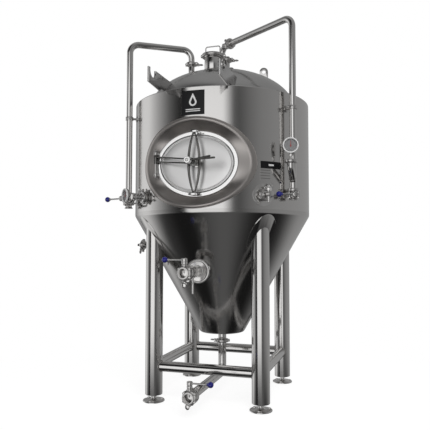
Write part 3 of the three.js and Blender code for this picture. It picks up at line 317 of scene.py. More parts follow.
BEAD = Finish(
    "weld_bead", (0.56, 0.54, 0.52), 0.32, grain=(220.0, 220.0, 220.0), grain_depth=0.12, relief=0.2
)
ENAMEL = Finish("black_enamel", (0.003, 0.003, 0.004), 0.5, metallic=0.0, grain_depth=0.05)
PRINT = Finish("white_print", (0.86, 0.86, 0.85), 0.4, metallic=0.0)
ETCH = Finish("etched_lines", (0.24, 0.235, 0.23), 0.35, metallic=0.8)
KNOB = Finish("navy_knob", (0.018, 0.02, 0.26), 0.2, metallic=0.0, grain_depth=0.05, coat=0.5)
BEZEL = Finish("bezel_ring", (0.92, 0.92, 0.91), 0.3, metallic=0.0)
DIAL = Finish("dial_face", (0.25, 0.25, 0.255), 0.55, metallic=0.0)
TICK = Finish("dial_ticks", (0.06, 0.06, 0.07), 0.5, metallic=0.0)
NEEDLE = Finish("needle_red", (0.42, 0.04, 0.035), 0.45, metallic=0.0)
GLASS = Finish("gauge_glass", (0.9, 0.92, 0.93), 0.05, metallic=0.0, alpha=0.04)
SILICONE = Finish("silicone_seal", (0.83, 0.83, 0.79), 0.55, metallic=0.0, relief=0.05)
FOAM = Finish("insulation_foam", (0.72, 0.62, 0.36), 0.9, metallic=0.0, relief=0.6, fine=220.0)
MATT_VESSEL = Finish("pickled_vessel", (0.6, 0.6, 0.59), 0.35, grain_depth=0.1, relief=0.1)


def dress_cad_node(held: bpy.types.Object, finish: Finish) -> None:
    """Dresses a CAD node that stays as it is."""
    held.data.materials.clear()
    held.data.materials.append(finish.material())


# ---------- forms ----------
class Join(Enum):
    """How a boolean combines two forms."""

    CUT = "DIFFERENCE"
    KEEP = "INTERSECT"


class Form:
    """A closed shape under construction, in millimetres."""

    def __init__(self) -> None:
        """Starts empty."""
        self.mesh = bmesh.new()

    def take(self, part: bmesh.types.BMesh, place: Matrix) -> "Form":
        """Places a part, joins it to this form and frees it.

        Args:
            part: The part, which is used up.
            place: Where its local origin goes.

        Returns:
            This form.
        """
        bmesh.ops.transform(part, matrix=place, verts=part.verts)
        copied = bpy.data.meshes.new("part")
        part.to_mesh(copied)
        part.free()
        self.mesh.from_mesh(copied)
        bpy.data.meshes.remove(copied)
        return self

    def lathe(
        self, profile: Sequence[tuple[float, float]], place: Matrix = Matrix(), steps: int = 72
    ) -> "Form":
        """Spins an outline of (radius, height) pairs round local Z.

        Args:
            profile: Outline, closed on itself or ending on the axis.
            place: Where the local origin goes.
            steps: Segments in a full turn.

        Returns:
            This form.
        """
        part = bmesh.new()
        verts = [part.verts.new((r, 0.0, z)) for r, z in profile]
        edges = [part.edges.new(pair) for pair in zip(verts, verts[1:])]
        bmesh.ops.spin(
            part, geom=verts + edges, cent=(0, 0, 0), axis=(0, 0, 1), angle=TAU, steps=steps, use_merge=True
        )
        bmesh.ops.remove_doubles(part, verts=part.verts, dist=1e-3)
        bmesh.ops.recalc_face_normals(part, faces=part.faces)
        return self.take(part, place)

    def turned(
        self, corners: Sequence[tuple[float, float]], edge: float, arc: int, place: Matrix = Matrix(),
        steps: int = 72,
    ) -> "Form":
        """Spins an outline with eased corners round local Z.

        Args:
            corners: Outline of (radius, height) pairs.
            edge: Largest trim at a corner.
            arc: Segments in each eased corner.
            place: Where the local origin goes.
            steps: Segments in a full turn.

        Returns:
            This form.
        """
        return self.lathe(rounded(corners, edge, arc), place, steps)

    def disc(
        self, radius: float, z0: float, z1: float, place: Matrix = Matrix(), edge: float = 0.8,
        steps: int = 48
    ) -> "Form":
        """A round bar or plate along local Z with eased edges.

        Args:
            radius: Outer radius.
            z0: One end.
            z1: The other end.
            place: Where the local origin goes.
            edge: Trim of the eased edges.
            steps: Segments in a full turn.

        Returns:
            This form.
        """
        return self.turned([(0, z0), (radius, z0), (radius, z1), (0, z1)], edge, 2, place, steps)

    def ring(
        self, inner: float, outer: float, z0: float, z1: float, place: Matrix = Matrix(), edge: float = 0.8
    ) -> "Form":
        """A round collar along local Z.

        Args:
            inner: Bore radius.
            outer: Outer radius.
            z0: One end.
            z1: The other end.
            place: Where the local origin goes.
            edge: Trim of the eased edges.

        Returns:
            This form.
        """
        mid = (inner + outer) / 2
        outline = [(mid, z0), (outer, z0), (outer, z1), (inner, z1), (inner, z0), (mid, z0)]
        return self.turned(outline, edge, 2, place)

    def torus(self, radius: float, thickness: float, place: Matrix = Matrix(), steps: int = 72) -> "Form":
        """A round bead about local Z.

        Args:
            radius: Radius of the bead's centre line.
            thickness: Radius of its section.
            place: Where the local origin goes.
            steps: Segments in a full turn.

        Returns:
            This form.
        """
        turns = [TAU * i / 10 for i in range(11)]
        section = [(radius + thickness * math.cos(a), thickness * math.sin(a)) for a in turns]
        return self.lathe(section, place, steps)

    def box(self, size: Sequence[float], place: Matrix = Matrix(), edge: float = 1.0) -> "Form":
        """A block about the local origin with bevelled edges.

        Args:
            size: Length along each local axis.
            place: Where the local origin goes.
            edge: Bevel width.

        Returns:
            This form.
        """
        part = bmesh.new()
        bmesh.ops.create_cube(part, size=1.0)
        bmesh.ops.scale(part, vec=size, verts=part.verts)
        self._ease(part, list(part.edges), edge)
        return self.take(part, place)

    @staticmethod
    def _ease(part: bmesh.types.BMesh, edges: list[bmesh.types.BMEdge], edge: float) -> None:
        """Bevels edges of a part."""
        bmesh.ops.bevel(
            part, geom=edges, offset=edge, segments=2, profile=0.5, affect="EDGES", material=-1,
            clamp_overlap=True
        )

    def ball(self, radii: Sequence[float], place: Matrix = Matrix()) -> "Form":
        """A ball or egg about the local origin.

        Args:
            radii: Radius along each local axis.
            place: Where the local origin goes.

        Returns:
            This form.
        """
        part = bmesh.new()
        bmesh.ops.create_uvsphere(part, u_segments=40, v_segments=24, radius=1.0)
        bmesh.ops.scale(part, vec=radii, verts=part.verts)
        return self.take(part, place)

    def prism(
        self, outline: Sequence[tuple[float, float]], thickness: float, place: Matrix = Matrix(),
        edge: float = 0.8
    ) -> "Form":
        """A plate with a flat outline in local XY, centred on its thickness.

        Args:
            outline: Corners in order.
            thickness: Length along local Z.
            place: Where the local origin goes.
            edge: Bevel width of the rims.

        Returns:
            This form.
        """
        part = bmesh.new()
        face = part.faces.new([part.verts.new((x, y, -thickness / 2)) for x, y in outline])
        raised = bmesh.ops.extrude_face_region(part, geom=[face])["geom"]
        lifted = [g for g in raised if isinstance(g, bmesh.types.BMVert)]
        bmesh.ops.translate(part, vec=(0, 0, thickness), verts=lifted)
        bmesh.ops.recalc_face_normals(part, faces=part.faces)
        if edge:
            rims = [e for e in part.edges if abs(e.verts[0].co.z - e.verts[1].co.z) < 1e-6]
            self._ease(part, rims, edge)
        return self.take(part, place)

    def tube(self, corners: Sequence[Vector], radius: float, bend: float = 0.0, sides: int = 40) -> "Form":
        """A round bar along corner points with true bends.

        Args:
            corners: Where the centre line's straights meet.
            radius: Radius of the section.
            bend: Radius of the centre line in each bend.
            sides: Segments round the section.

        Returns:
            This form.
        """
        part = bmesh.new()
        start = facing(corners[0], corners[1] - corners[0])
        bmesh.ops.create_circle(part, segments=sides, radius=radius, matrix=start, cap_ends=False)
        front: list[Any] = list(part.verts) + list(part.edges)
        here = corners[0]
        for before, corner, after in zip(corners, corners[1:], corners[2:]):
            coming = (corner - before).normalized()
            leaving = (after - corner).normalized()
            turn = coming.angle(leaving)
            trim = bend * math.tan(turn / 2)
            entry = corner - coming * trim
            front = self._push(part, front, entry - here)
            inward = (leaving - coming * leaving.dot(coming)).normalized()
            bent = bmesh.ops.spin(
                part, geom=front, cent=entry + inward * bend, axis=coming.cross(leaving).normalized(),
                angle=turn, steps=max(4, round(math.degrees(turn) / 5)), use_merge=False,
            )
            front = [g for g in bent["geom_last"] if not isinstance(g, bmesh.types.BMFace)]
            here = corner + leaving * trim
        self._push(part, front, corners[-1] - here)
        bmesh.ops.holes_fill(part, edges=[e for e in part.edges if e.is_boundary], sides=0)
        bmesh.ops.recalc_face_normals(part, faces=part.faces)
        return self.take(part, Matrix())

    @staticmethod
    def _push(part: bmesh.types.BMesh, front: list[Any], step: Vector) -> list[Any]:
        """Extrudes an open loop along a step.

        Args:
            part: The mesh that the loop is in.
            front: The loop's vertices and edges.
            step: How far and which way.

        Returns:
            The new loop's vertices and edges.
        """
        edges = [g for g in front if isinstance(g, bmesh.types.BMEdge)]
        grown = bmesh.ops.extrude_edge_only(part, edges=edges)["geom"]
        verts = [g for g in grown if isinstance(g, bmesh.types.BMVert)]
        bmesh.ops.translate(part, vec=step, verts=verts)
        return verts + [g for g in grown if isinstance(g, bmesh.types.BMEdge)]

    def oval(
        self, profile: Sequence[tuple[float, float]], half_width: float, half_height: float, place: Matrix,
        steps: int = OVAL_STEPS,
    ) -> "Form":
        """Carries an outline round an ellipse in local XY.

        Args:
            profile: Pairs of offset from the ellipse and height along local Z.
            half_width: The ellipse's half width along local X.
            half_height: Its half height along local Y.
            place: Where the local origin goes.
            steps: Segments in a full turn.

        Returns:
            This form.
        """
        far = 10000.0
        spun = Form().lathe([(far + offset, z) for offset, z in profile], steps=steps)
        for vert in spun.mesh.verts:
            angle = math.atan2(vert.co.y, vert.co.x)
            offset = vert.co.xy.length - far
            central = offset < -half_height * 0.99
            vert.co.x = 0.0 if central else (half_width + offset) * math.cos(angle)
            vert.co.y = 0.0 if central else (half_height + offset) * math.sin(angle)
        bmesh.ops.remove_doubles(spun.mesh, verts=spun.mesh.verts, dist=1e-3)
        bmesh.ops.recalc_face_normals(spun.mesh, faces=spun.mesh.faces)
        return self.take(spun.mesh, place)

    def boolean(self, other: "Form", how: Join) -> "Form":
        """Combines this form with another, which is used up.

        Args:
            other: The second form.
            how: Cut, or keep the shared part.

        Returns:
            This form.
        """
        target, tool = self._temporary(), other._temporary()
        modifier = target.modifiers.new("join", "BOOLEAN")
        modifier.operation = how.value
        modifier.object = tool
        modifier.solver = "EXACT"
        bpy.context.view_layer.update()
        result = bpy.data.meshes.new_from_object(target.evaluated_get(bpy.context.evaluated_depsgraph_get()))
        self.mesh = bmesh.new()
        self.mesh.from_mesh(result)
        for thing in (target, tool):
            data = thing.data
            bpy.data.objects.remove(thing)
            bpy.data.meshes.remove(data)
        bpy.data.meshes.remove(result)
        return self

    def _temporary(self) -> bpy.types.Object:
        """An object that holds this form for a modifier."""
        data = bpy.data.meshes.new("temporary")
        self.mesh.to_mesh(data)
        self.mesh.free()
        made = bpy.data.objects.new("temporary", data)
        bpy.context.scene.collection.objects.link(made)
        return made

    def piece(
        self, name: str, finish: Finish, body: str = TANK, replaces: Iterable[str] = (),
        slot: str = "polished",
        sharp: float = 32.0,
    ) -> bpy.types.Object:
        """Turns the form into a finished piece that rides on a body.

        Args:
            name: The piece's name.
            finish: Its surface.
            body: The body that it moves with.
            replaces: CAD nodes that it stands for.
            slot: Not used.
            sharp: Angle past which an edge stays sharp, in degrees.

        Returns:
            The new object.
        """
        bmesh.ops.scale(self.mesh, vec=(MM, MM, MM), verts=self.mesh.verts)
        data = bpy.data.meshes.new(name)
        self.mesh.to_mesh(data)
        self.mesh.free()
        data.shade_smooth()
        data.set_sharp_from_angle(angle=math.radians(sharp))
        data.materials.clear()
        data.materials.append(finish.material())
        made = bpy.data.objects.new(name, data)
        bpy.context.scene.collection.objects.link(made)
        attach(made, body)
        nodes = list(replaces)
        if nodes:
            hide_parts(*nodes)
        LOG.info("%s on %s", name, body)
        return made


# ---------- the frame's own sizes ----------
@dataclass
class Layout:
    """Places and sizes that every sub-assembly shares, measured on the frame."""

    body_r: float = 0.0
    cone_top: float = 0.0
    body_top: float = 0.0
    cone_tip: float = 0.0
    tip_r: float = 138.0
    head_r: float = 470.0
    head_base: float = 0.0
    head_rise: float = 260.0
    leg_xy: float = 0.0
    leg_r: float = 50.8
    manway_z: float = 0.0
    neck_y: float = 0.0
    flare_a: float = 333.5
    flare_b: float = 252.0
    tube_r: float = 19.05
    arm_r: float = 595.0
    cip_bearing: float = -56.5
    blow_bearing: float = 58.8

    @classmethod
    def measure(cls) -> "Layout":
        """Reads the shared sizes off the frame's nodes.

        Returns:
            The layout in millimetres.
        """
        side_low, side_high = corners_of("side_cladding")
        cone_low, _ = corners_of("cone_cladding")
        head_low, _ = corners_of("top_head")
        foot_low, foot_high = corners_of("foot_front_right")
        gasket_low, gasket_high = corners_of("manway_gasket")
        door_high = corners_of("manway_door")[1]
        return cls(
            body_r=side_high.x, cone_top=side_low.z, body_top=side_high.z - 8.0, cone_tip=cone_low.z,
            head_base=head_low.z, leg_xy=(foot_low.x + foot_high.x) / 2,
            manway_z=(gasket_low.z + gasket_high.z) / 2, neck_y=door_high.y - 10.0,
        )

    def head_height(self, radius: float) -> float:
        """Height of the head's outside at a radius from the axis."""
        return self.head_base + self.head_rise * math.sqrt(max(0.0, 1 - (radius / self.head_r) ** 2))


def corners_of(node: str) -> tuple[Vector, Vector]:
    """Lowest and highest corner of a CAD node, in millimetres."""
    low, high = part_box(node)
    return Vector(low) / MM, Vector(high) / MM


# ---------- shared fittings ----------
@dataclass(frozen=True)
class Ferrule:
    """A clamped pipe end: its tube, flange and the clamp that goes over it."""

    tube: float
    flange: float
    thickness: float = 6.4
    band: float = 9.0

    def flare(self, form: Form, tip: Vector, inward: Vector) -> Form:
        """Adds the flange with its tapered back at a pipe's end.

        Args:
            form: The form it joins.
            tip: Centre of the sealing face.
            inward: Direction from the face into the pipe.

        Returns:
            The form.
        """
        r, t = self.flange, self.thickness
        outline = [(0, 0), (r, 0), (r, 2.6), (self.tube + 1.5, t + 0.8), (self.tube, t + 4), (0, t + 4)]
        return form.turned(outline, 0.8, 2, facing(tip, inward), 56)

    def clamp(
        self, name: str, centre: Vector, along: Vector, side: Vector, replaces: Iterable[str] = ()
    ) -> None:
        """Makes the hinged clamp with its bolt and wing nut.

        Args:
            name: Piece name.
            centre: Middle of the joint.
            along: Pipe direction.
            side: Direction of the wing nut.
            replaces: CAD nodes that the clamp stands for.
        """
        outer = self.flange + self.band
        place = facing(centre, along, side)
        lip, half = self.tube + 3.0, 10.5
        outline = [
            (lip, 0), (lip, half - 2), (self.flange - 2, half), (outer - 2, half - 1.5), (outer, half - 5),
            (outer, 0),
            (outer, 5 - half), (outer - 2, 1.5 - half), (self.flange - 2, -half), (lip, 2 - half), (lip, 0),
        ]
        band = Form().turned(outline, 1.6, 2, place, 64)
        for sign in (1, -1):
            band.box((17, 8.5, 15), place @ Matrix.Translation((outer + 3, 9.5 * sign, 0)), 2.4)
        for sign in (1, -1):
            band.box((11, 9, 14), place @ Matrix.Translation((1 - outer, 7 * sign, 0)), 2.2)
        band.piece(name, CAST, replaces=replaces, slot="cast")
        bolt = Form()
        screw = place @ Matrix.Translation((outer + 5, 0, 0)) @ Matrix.Rotation(math.radians(-90), 4, "X")
        bolt.disc(3.6, -17, 38, screw, 0.6, 24)
        bolt.disc(6.2, -18, -13.5, screw, 1.0, 24)
        bolt.disc(8.4, 14, 26, screw, 1.4, 32)
        for lean in (-1, 1):
            tilt = Matrix.Rotation(math.radians(lean * 34), 4, "Y")
            bolt.ball((13, 4.6, 15), screw @ Matrix.Translation((lean * 16, 0, 27)) @ tilt)
        bolt.disc(4.2, -8, 8, place @ Matrix.Translation((-outer - 3, 0, 0)), 0.8, 24)
        bolt.piece(f"{name}_wing_nut", BRIGHT, slot="polished")


FERRULE_15 = Ferrule(19.05, 25.25)
FERRULE_20 = Ferrule(25.4, 32.0)
FERRULE_40 = Ferrule(50.8, 59.5)


# ---------- tank shell ----------
@dataclass
class Cladding:
    """The polished sheet round the tank, with its brackets, pads and plates."""

    layout: Layout
    sheet: float = 2.0
    shoulder_rise: float = 8.0
    collar: float = 32.0
    collar_t: float = 3.6
    knee: float = 20.0
    pads: tuple[tuple[float, float, float], ...] = ((41.0, 1190.0, 62.0), (-36.0, 1190.0, 38.0))

    def build(self) -> None:
        """Makes every outer sheet piece."""
        self._side()
        self._cone()
        self._pads()
        self._brackets()
        self._jacket_taps()

    def _side(self) -> None:
        """The straight sheet and shoulder, with the manway's oval hole."""
        lay = self.layout
        r, t, top, low = lay.body_r, self.sheet, lay.body_top, lay.cone_top + self.knee
        outer = [(r, low + 1), (r, top), (lay.head_r + 0.5, top + self.shoulder_rise)]
        inner = [(lay.head_r + 0.5, top + self.shoulder_rise - t), (r - t, top - t), (r - t, low + 1)]
        outline = [(r, low), *rounded([*outer, *inner], 7.0, 6), (r - t, low), (r, low)]
        sheet = Form().lathe(outline, steps=256)
        place = facing(Vector((0, 0, lay.manway_z)), FRONT, RIGHT)
        hole = oval_plug(lay.flare_a - 3, lay.flare_b - 3, 300.0, 700.0, place)
        made = sheet.boolean(hole, Join.CUT).piece(
            "side_sheet", SHEET, replaces=["side_cladding"], slot="cladding"
        )
        true_round(made.data, top * MM)

    def _cone(self) -> None:
        """The clad cone, rolled into the side at its top, and a welded collar round each leg."""
        lay = self.layout
        rim, t = 26.0, 3.0
        edge, soft = lay.cone_top + self.knee, self.knee - 2
        mid_r, mid_z = (lay.tip_r + lay.body_r) / 2, (lay.cone_tip + lay.cone_top) / 2
        tip = rounded([(rim, lay.cone_tip), (lay.tip_r, lay.cone_tip), (mid_r, mid_z)], 12.0, 8)
        knee = rounded([(mid_r, mid_z), (lay.body_r, lay.cone_top), (lay.body_r, edge)], soft, 12)
        back = rounded([(lay.body_r - t, edge), (lay.body_r - t, lay.cone_top), (mid_r - t, mid_z)], soft, 12)
        inside = [(lay.tip_r - t, lay.cone_tip + t), (rim, lay.cone_tip + t), (rim, lay.cone_tip)]
        Form().lathe([*tip, *knee[1:], *back, *inside], steps=256).piece(
            "cone_sheet", CONE_SHEET, replaces=["cone_cladding"], slot="cladding", sharp=40
        )
        for hand, sx in (("left", -1), ("right", 1)):
            for end, sy in (("front", -1), ("rear", 1)):
                self._leg_collar(f"leg_collar_{end}_{hand}", Vector((sx, sy, 0)) * (lay.leg_xy + 4))

    def _leg_collar(self, name: str, spot: Vector) -> None:
        """A plate that follows the cone round the top of one leg.

        Args:
            name: Piece name.
            spot: The plate's axis.
        """
        lay = self.layout
        shell = cone_shell(lay, 0.0, self.collar_t, 256)
        place = Matrix.Translation(spot)
        trim = Form().disc(lay.leg_r + self.collar, lay.cone_tip, lay.cone_top - 8, place, 0.1, 96)
        shell.boolean(trim, Join.KEEP).piece(name, CONE_SHEET, slot="steel", sharp=40)

    def _pads(self) -> None:
        """Round reinforcing pads where ports pass through the sheet."""
        for degrees, height, radius in self.pads:
            r = self.layout.body_r
            shell = Form().ring(r + 0.2, r + 2.6, height - 90, height + 90, edge=0.1)
            place = facing(Vector((0, 0, height)), bearing(degrees))
            trim = Form().disc(radius, 300, 700, place, 0.1, 96)
            hand = "right" if degrees > 0 else "left"
            shell.boolean(trim, Join.KEEP).piece(f"port_pad_{hand}", BRIGHT, slot="cladding", sharp=40)
            weld = place @ Matrix.Translation((0, 0, r + 3))
            Form().torus(self.layout.tube_r + 2, 3.0, weld).piece(f"port_weld_{hand}", BEAD, slot="cladding")

    def _brackets(self) -> None:
        """Clips that hold the two arm pipes off the sheet."""
        lay = self.layout
        for name, degrees in (("cip", lay.cip_bearing), ("blowoff", lay.blow_bearing)):
            height = lay.body_top - 97
            place = facing(Vector((0, 0, height)), bearing(degrees))
            post = Form().disc(20, lay.body_r - 1, lay.body_r + 4, place, 1.2)
            post.disc(6.5, lay.body_r + 3, lay.arm_r - lay.tube_r - 1, place, 0.5, 32)
            axis = Matrix.Translation(bearing(degrees, lay.arm_r, height))
            post.ring(lay.tube_r + 0.6, lay.tube_r + 4.5, -10, 10, axis)
            side = bearing(degrees + 90)
            for sign in (-1, 1):
                ear = bearing(degrees, lay.arm_r, height) + side * (sign * (lay.tube_r + 9))
                post.box((12, 7, 18), facing(ear, UP, side), 1.5)
                post.disc(4.5, -9, 9, facing(ear, bearing(degrees)), 0.8, 6)
            post.piece(f"{name}_pipe_bracket", CAST, slot="cast")

    def _jacket_taps(self) -> None:
        """Threaded coolant taps at the back."""
        low, high = corners_of("side_cooling_jacket")
        for name, height in (("lower", low.z + 30), ("upper", high.z - 30)):
            place = facing(Vector((0, 0, height)), -FRONT)
            tap = Form().ring(7, 13, self.layout.body_r + 1, high.y, place, 1.0)
            tap.torus(14.5, 2.6, place @ Matrix.Translation((0, 0, self.layout.body_r + 1.5)))
            tap.piece(f"coolant_tap_{name}", BRIGHT, slot="steel")


def cone_shell(layout: Layout, inner: float, outer: float, steps: int) -> Form:
    """A conical wall that follows the clad cone.

    Args:
        layout: The shared sizes.
        inner: How far the inside stands off the cone, along the radius.
        outer: How far the outside stands off it.
        steps: Segments in a full turn.

    Returns:
        The new form.
    """
    tip, wide, low, high = layout.tip_r, layout.body_r, layout.cone_tip, layout.cone_top
    inside = [(tip + inner, low), (wide + inner, high)]
    outside = [(wide + outer, high), (tip + outer, low)]
    return Form().lathe([*inside, *outside, inside[0]], steps=steps)


def oval_plug(half_width: float, half_height: float, z0: float, z1: float, place: Matrix) -> Form:
    """A solid oval bar along local Z.

    Args:
        half_width: Half width along local X.
        half_height: Half height along local Y.
        z0: One end.
        z1: The other end.
        place: Where the local origin goes.

    Returns:
        The new form.
    """
    turns = [TAU * i / OVAL_STEPS for i in range(OVAL_STEPS)]
    outline = [(half_width * math.cos(a), half_height * math.sin(a)) for a in turns]
    middle = place @ Matrix.Translation((0, 0, (z0 + z1) / 2))
    return Form().prism(outline, z1 - z0, middle, 0.0)


def true_round(data: bpy.types.Mesh, top: float) -> None:
    """Gives the upright faces of a cut cylinder the normals of the full cylinder.

    Args:
        data: The finished mesh, in metres.
        top: Height above which the mesh keeps its own normals.
    """
    normals = [Vector(n.vector) for n in data.corner_normals]
    for face in data.polygons:
        flat = Vector((face.center.x, face.center.y, 0)).normalized()
        lean = face.normal.dot(flat)
        if abs(lean) < 0.98 or face.center.z > top:
            continue
        for loop in face.loop_indices:
            spot = data.vertices[data.loops[loop].vertex_index].co
            normals[loop] = Vector((spot.x, spot.y, 0)).normalized() * math.copysign(1.0, lean)
    data.normals_split_custom_set(normals)


@dataclass
class Head:
    """The dished head with its ports, lugs and ladder hooks."""

    layout: Layout
    hatch: Vector = field(init=False)
    cip: Vector = field(init=False)
    blow: Vector = field(init=False)
    relief: Vector = field(init=False)
    wall: float = 3.0
    lug_bearing: float = 100.0
    lug_r: float = 270.0
    lug_half: float = 27.0
    lug_eye: float = 55.0
    hook_x: float = 198.0
    hook_t: float = 10.0

    def __post_init__(self) -> None:
        """Finds the four ports from the pieces that sit on them."""
        self.hatch = self._under("hatch_lid")
        self.relief = self._under("relief_port_cap")
        self.cip = bearing(self.layout.cip_bearing, 205.0, self._joint_height("cip_port_clamp"))
        self.blow = Vector((-9.0, 25.0, self._joint_height("blowoff_port_clamp")))

    @staticmethod
    def _under(node: str) -> Vector:
        """Middle of the face that a lid or cap closes."""
        low, high = corners_of(node)
        return Vector(((low.x + high.x) / 2, (low.y + high.y) / 2, low.z - JOINT_GAP))

    @staticmethod
    def _joint_height(clamp: str) -> float:
        """Height of the lower flange's face inside a clamp."""
        low, high = corners_of(clamp)
        return (low.z + high.z) / 2 - JOINT_GAP / 2

    def build(self) -> None:
        """Makes the head and what is welded or clamped to it."""
        lay, wall, steps = self.layout, self.wall, 40
        turns = [math.pi / 2 * i / steps for i in range(steps + 1)]
        arc = [(lay.head_r * math.cos(a), lay.head_base + lay.head_rise * math.sin(a)) for a in turns]
        inner = [(r - wall * r / lay.head_r, z - wall) for r, z in reversed(arc[1:])]
        foot = (lay.head_r - wall, lay.head_base)
        Form().lathe([*arc, *inner, foot, arc[0]], steps=256).piece(
            "dished_head", DISH, replaces=["top_head"], slot="cladding", sharp=60
        )
        self._necks()
        self._hatch_lid()
        self._relief_cap()
        self._lugs()
        self._hooks()

    def _necks(self) -> None:
        """Port necks with their welds."""
        lay = self.layout
        for name, port, ferrule in (
            ("hatch", self.hatch, FERRULE_40), ("cip_port", self.cip, FERRULE_15),
            ("blowoff_port", self.blow, FERRULE_15), ("relief_port", self.relief, FERRULE_15),
        ):
            reach = port.xy.length
            surface = lay.head_height(reach)
            neck = Form().disc(
                ferrule.tube, surface - 35, port.z - 4, Matrix.Translation((port.x, port.y, 0)), 0.3, 72
            )
            ferrule.flare(neck, port, DOWN)
            neck.piece(f"{name}_neck", TUBE, slot="steel")
            share = reach / lay.head_r
            lean = math.atan(lay.head_rise / lay.head_r * share / math.sqrt(1 - share**2))
            outward = Vector((port.x, port.y, 0)).normalized()
            normal = (UP * math.cos(lean) + outward * math.sin(lean)).normalized()
            weld = Form().torus(ferrule.tube + 1.5, 2.6, facing(Vector((port.x, port.y, surface)), normal))
            weld.piece(f"{name}_weld", BEAD, slot="steel")

    def _hatch_lid(self) -> None:
        """The clamped hatch lid with its wire bail."""
        lid = self.hatch + UP * JOINT_GAP
        rim = FERRULE_40.flange
        outline = [(0, 5.2), (34, 5.2), (40, 8.4), (rim, 6.4), (rim, 0), (0, 0)]
        form = Form().turned(outline, 1.5, 3, Matrix.Translation(lid))
        form.piece("hatch_cover", BRIGHT, replaces=["hatch_lid"], slot="polished")
        half, rise = 46.0, 60.0
        corners = [Vector((x, 0, z)) + lid for x, z in ((-half, 3), (-half, rise), (half, rise), (half, 3))]
        bail = Form().tube(corners, 3.5, 12, 20)
        for x in (-half, half):
            bail.torus(4.5, 2.0, Matrix.Translation(lid + Vector((x, 0, 6.8))), 24)
        bail.piece("hatch_bail", BRIGHT, slot="polished")
        FERRULE_40.clamp("hatch_band", self.hatch + UP, UP, Vector((1, 0.2, 0)), ["hatch_clamp"])

    def _relief_cap(self) -> None:
        """The blanked relief port."""
        rim = FERRULE_15.flange
        outline = [(0, 4), (14, 4), (18, 6.4), (rim, 6.4), (rim, 0), (0, 0)]
        cap = Form().turned(outline, 1.0, 2, Matrix.Translation(self.relief + UP * JOINT_GAP))
        cap.piece("relief_cap", BRIGHT, replaces=["relief_port_cap"], slot="polished")
        FERRULE_15.clamp("relief_band", self.relief + UP, UP, Vector((1, -0.15, 0)))

    def _lugs(self) -> None:
        """Two lifting eyes."""
        for hand, degrees in (("left", -self.lug_bearing), ("right", self.lug_bearing)):
            foot = self.layout.head_height(self.lug_r)
            arc = [math.pi * i / 20 for i in range(21)]
            outline = [(-self.lug_half, -40.0), (self.lug_half, -40.0)]
            half, eye_z = self.lug_half, self.lug_eye
            outline += [(half * math.cos(a), eye_z + half * math.sin(a)) for a in arc]
            spot = bearing(degrees, self.lug_r, foot)
            outward = bearing(degrees)
            turn = Matrix((outward, UP, outward.cross(UP))).transposed().to_4x4()
            place = Matrix.Translation(spot) @ turn
            plate = Form().prism(outline, 10.0, place, 0.9)
            eye = Form().disc(12, -30, 30, place @ Matrix.Translation((0, self.lug_eye, 0)), 0.1)
            plate.boolean(eye, Join.CUT).piece(f"lifting_eye_{hand}", BRIGHT, slot="steel")

    def _hooks(self) -> None:
        """Two plates that hold a ladder's rail off the front."""
        lay = self.layout
        tip, prong, notch = -(lay.body_r + 150), 16.0, 35.0
        base, top = lay.body_top - 12, lay.body_top + 83
        cheek = tip + prong + 2 * notch
        arc = [math.pi + math.pi * i / 24 for i in range(25)]
        cup = [(tip + prong + notch + notch * math.cos(a), base + 82 + notch * math.sin(a)) for a in arc]
        inside = -lay.head_r * 0.78
        outline = [
            (inside, lay.body_top + 10), (-lay.body_r + 14, lay.body_top + 6), (-lay.body_r - 1, base + 2),
            (tip, base + 12), (tip, top), (tip + prong, top), *cup, (cheek, top), (inside, top),
        ]
        turn = Matrix((Vector((0, 1, 0)), UP, RIGHT)).transposed().to_4x4()
        for hand, x in (("left", -self.hook_x), ("right", self.hook_x)):
            Form().prism(outline, self.hook_t, Matrix.Translation((x, 0, 0)) @ turn, 0.9).piece(
                f"ladder_plate_{hand}", DISH, replaces=[f"ladder_hook_{hand}"], slot="steel"
            )


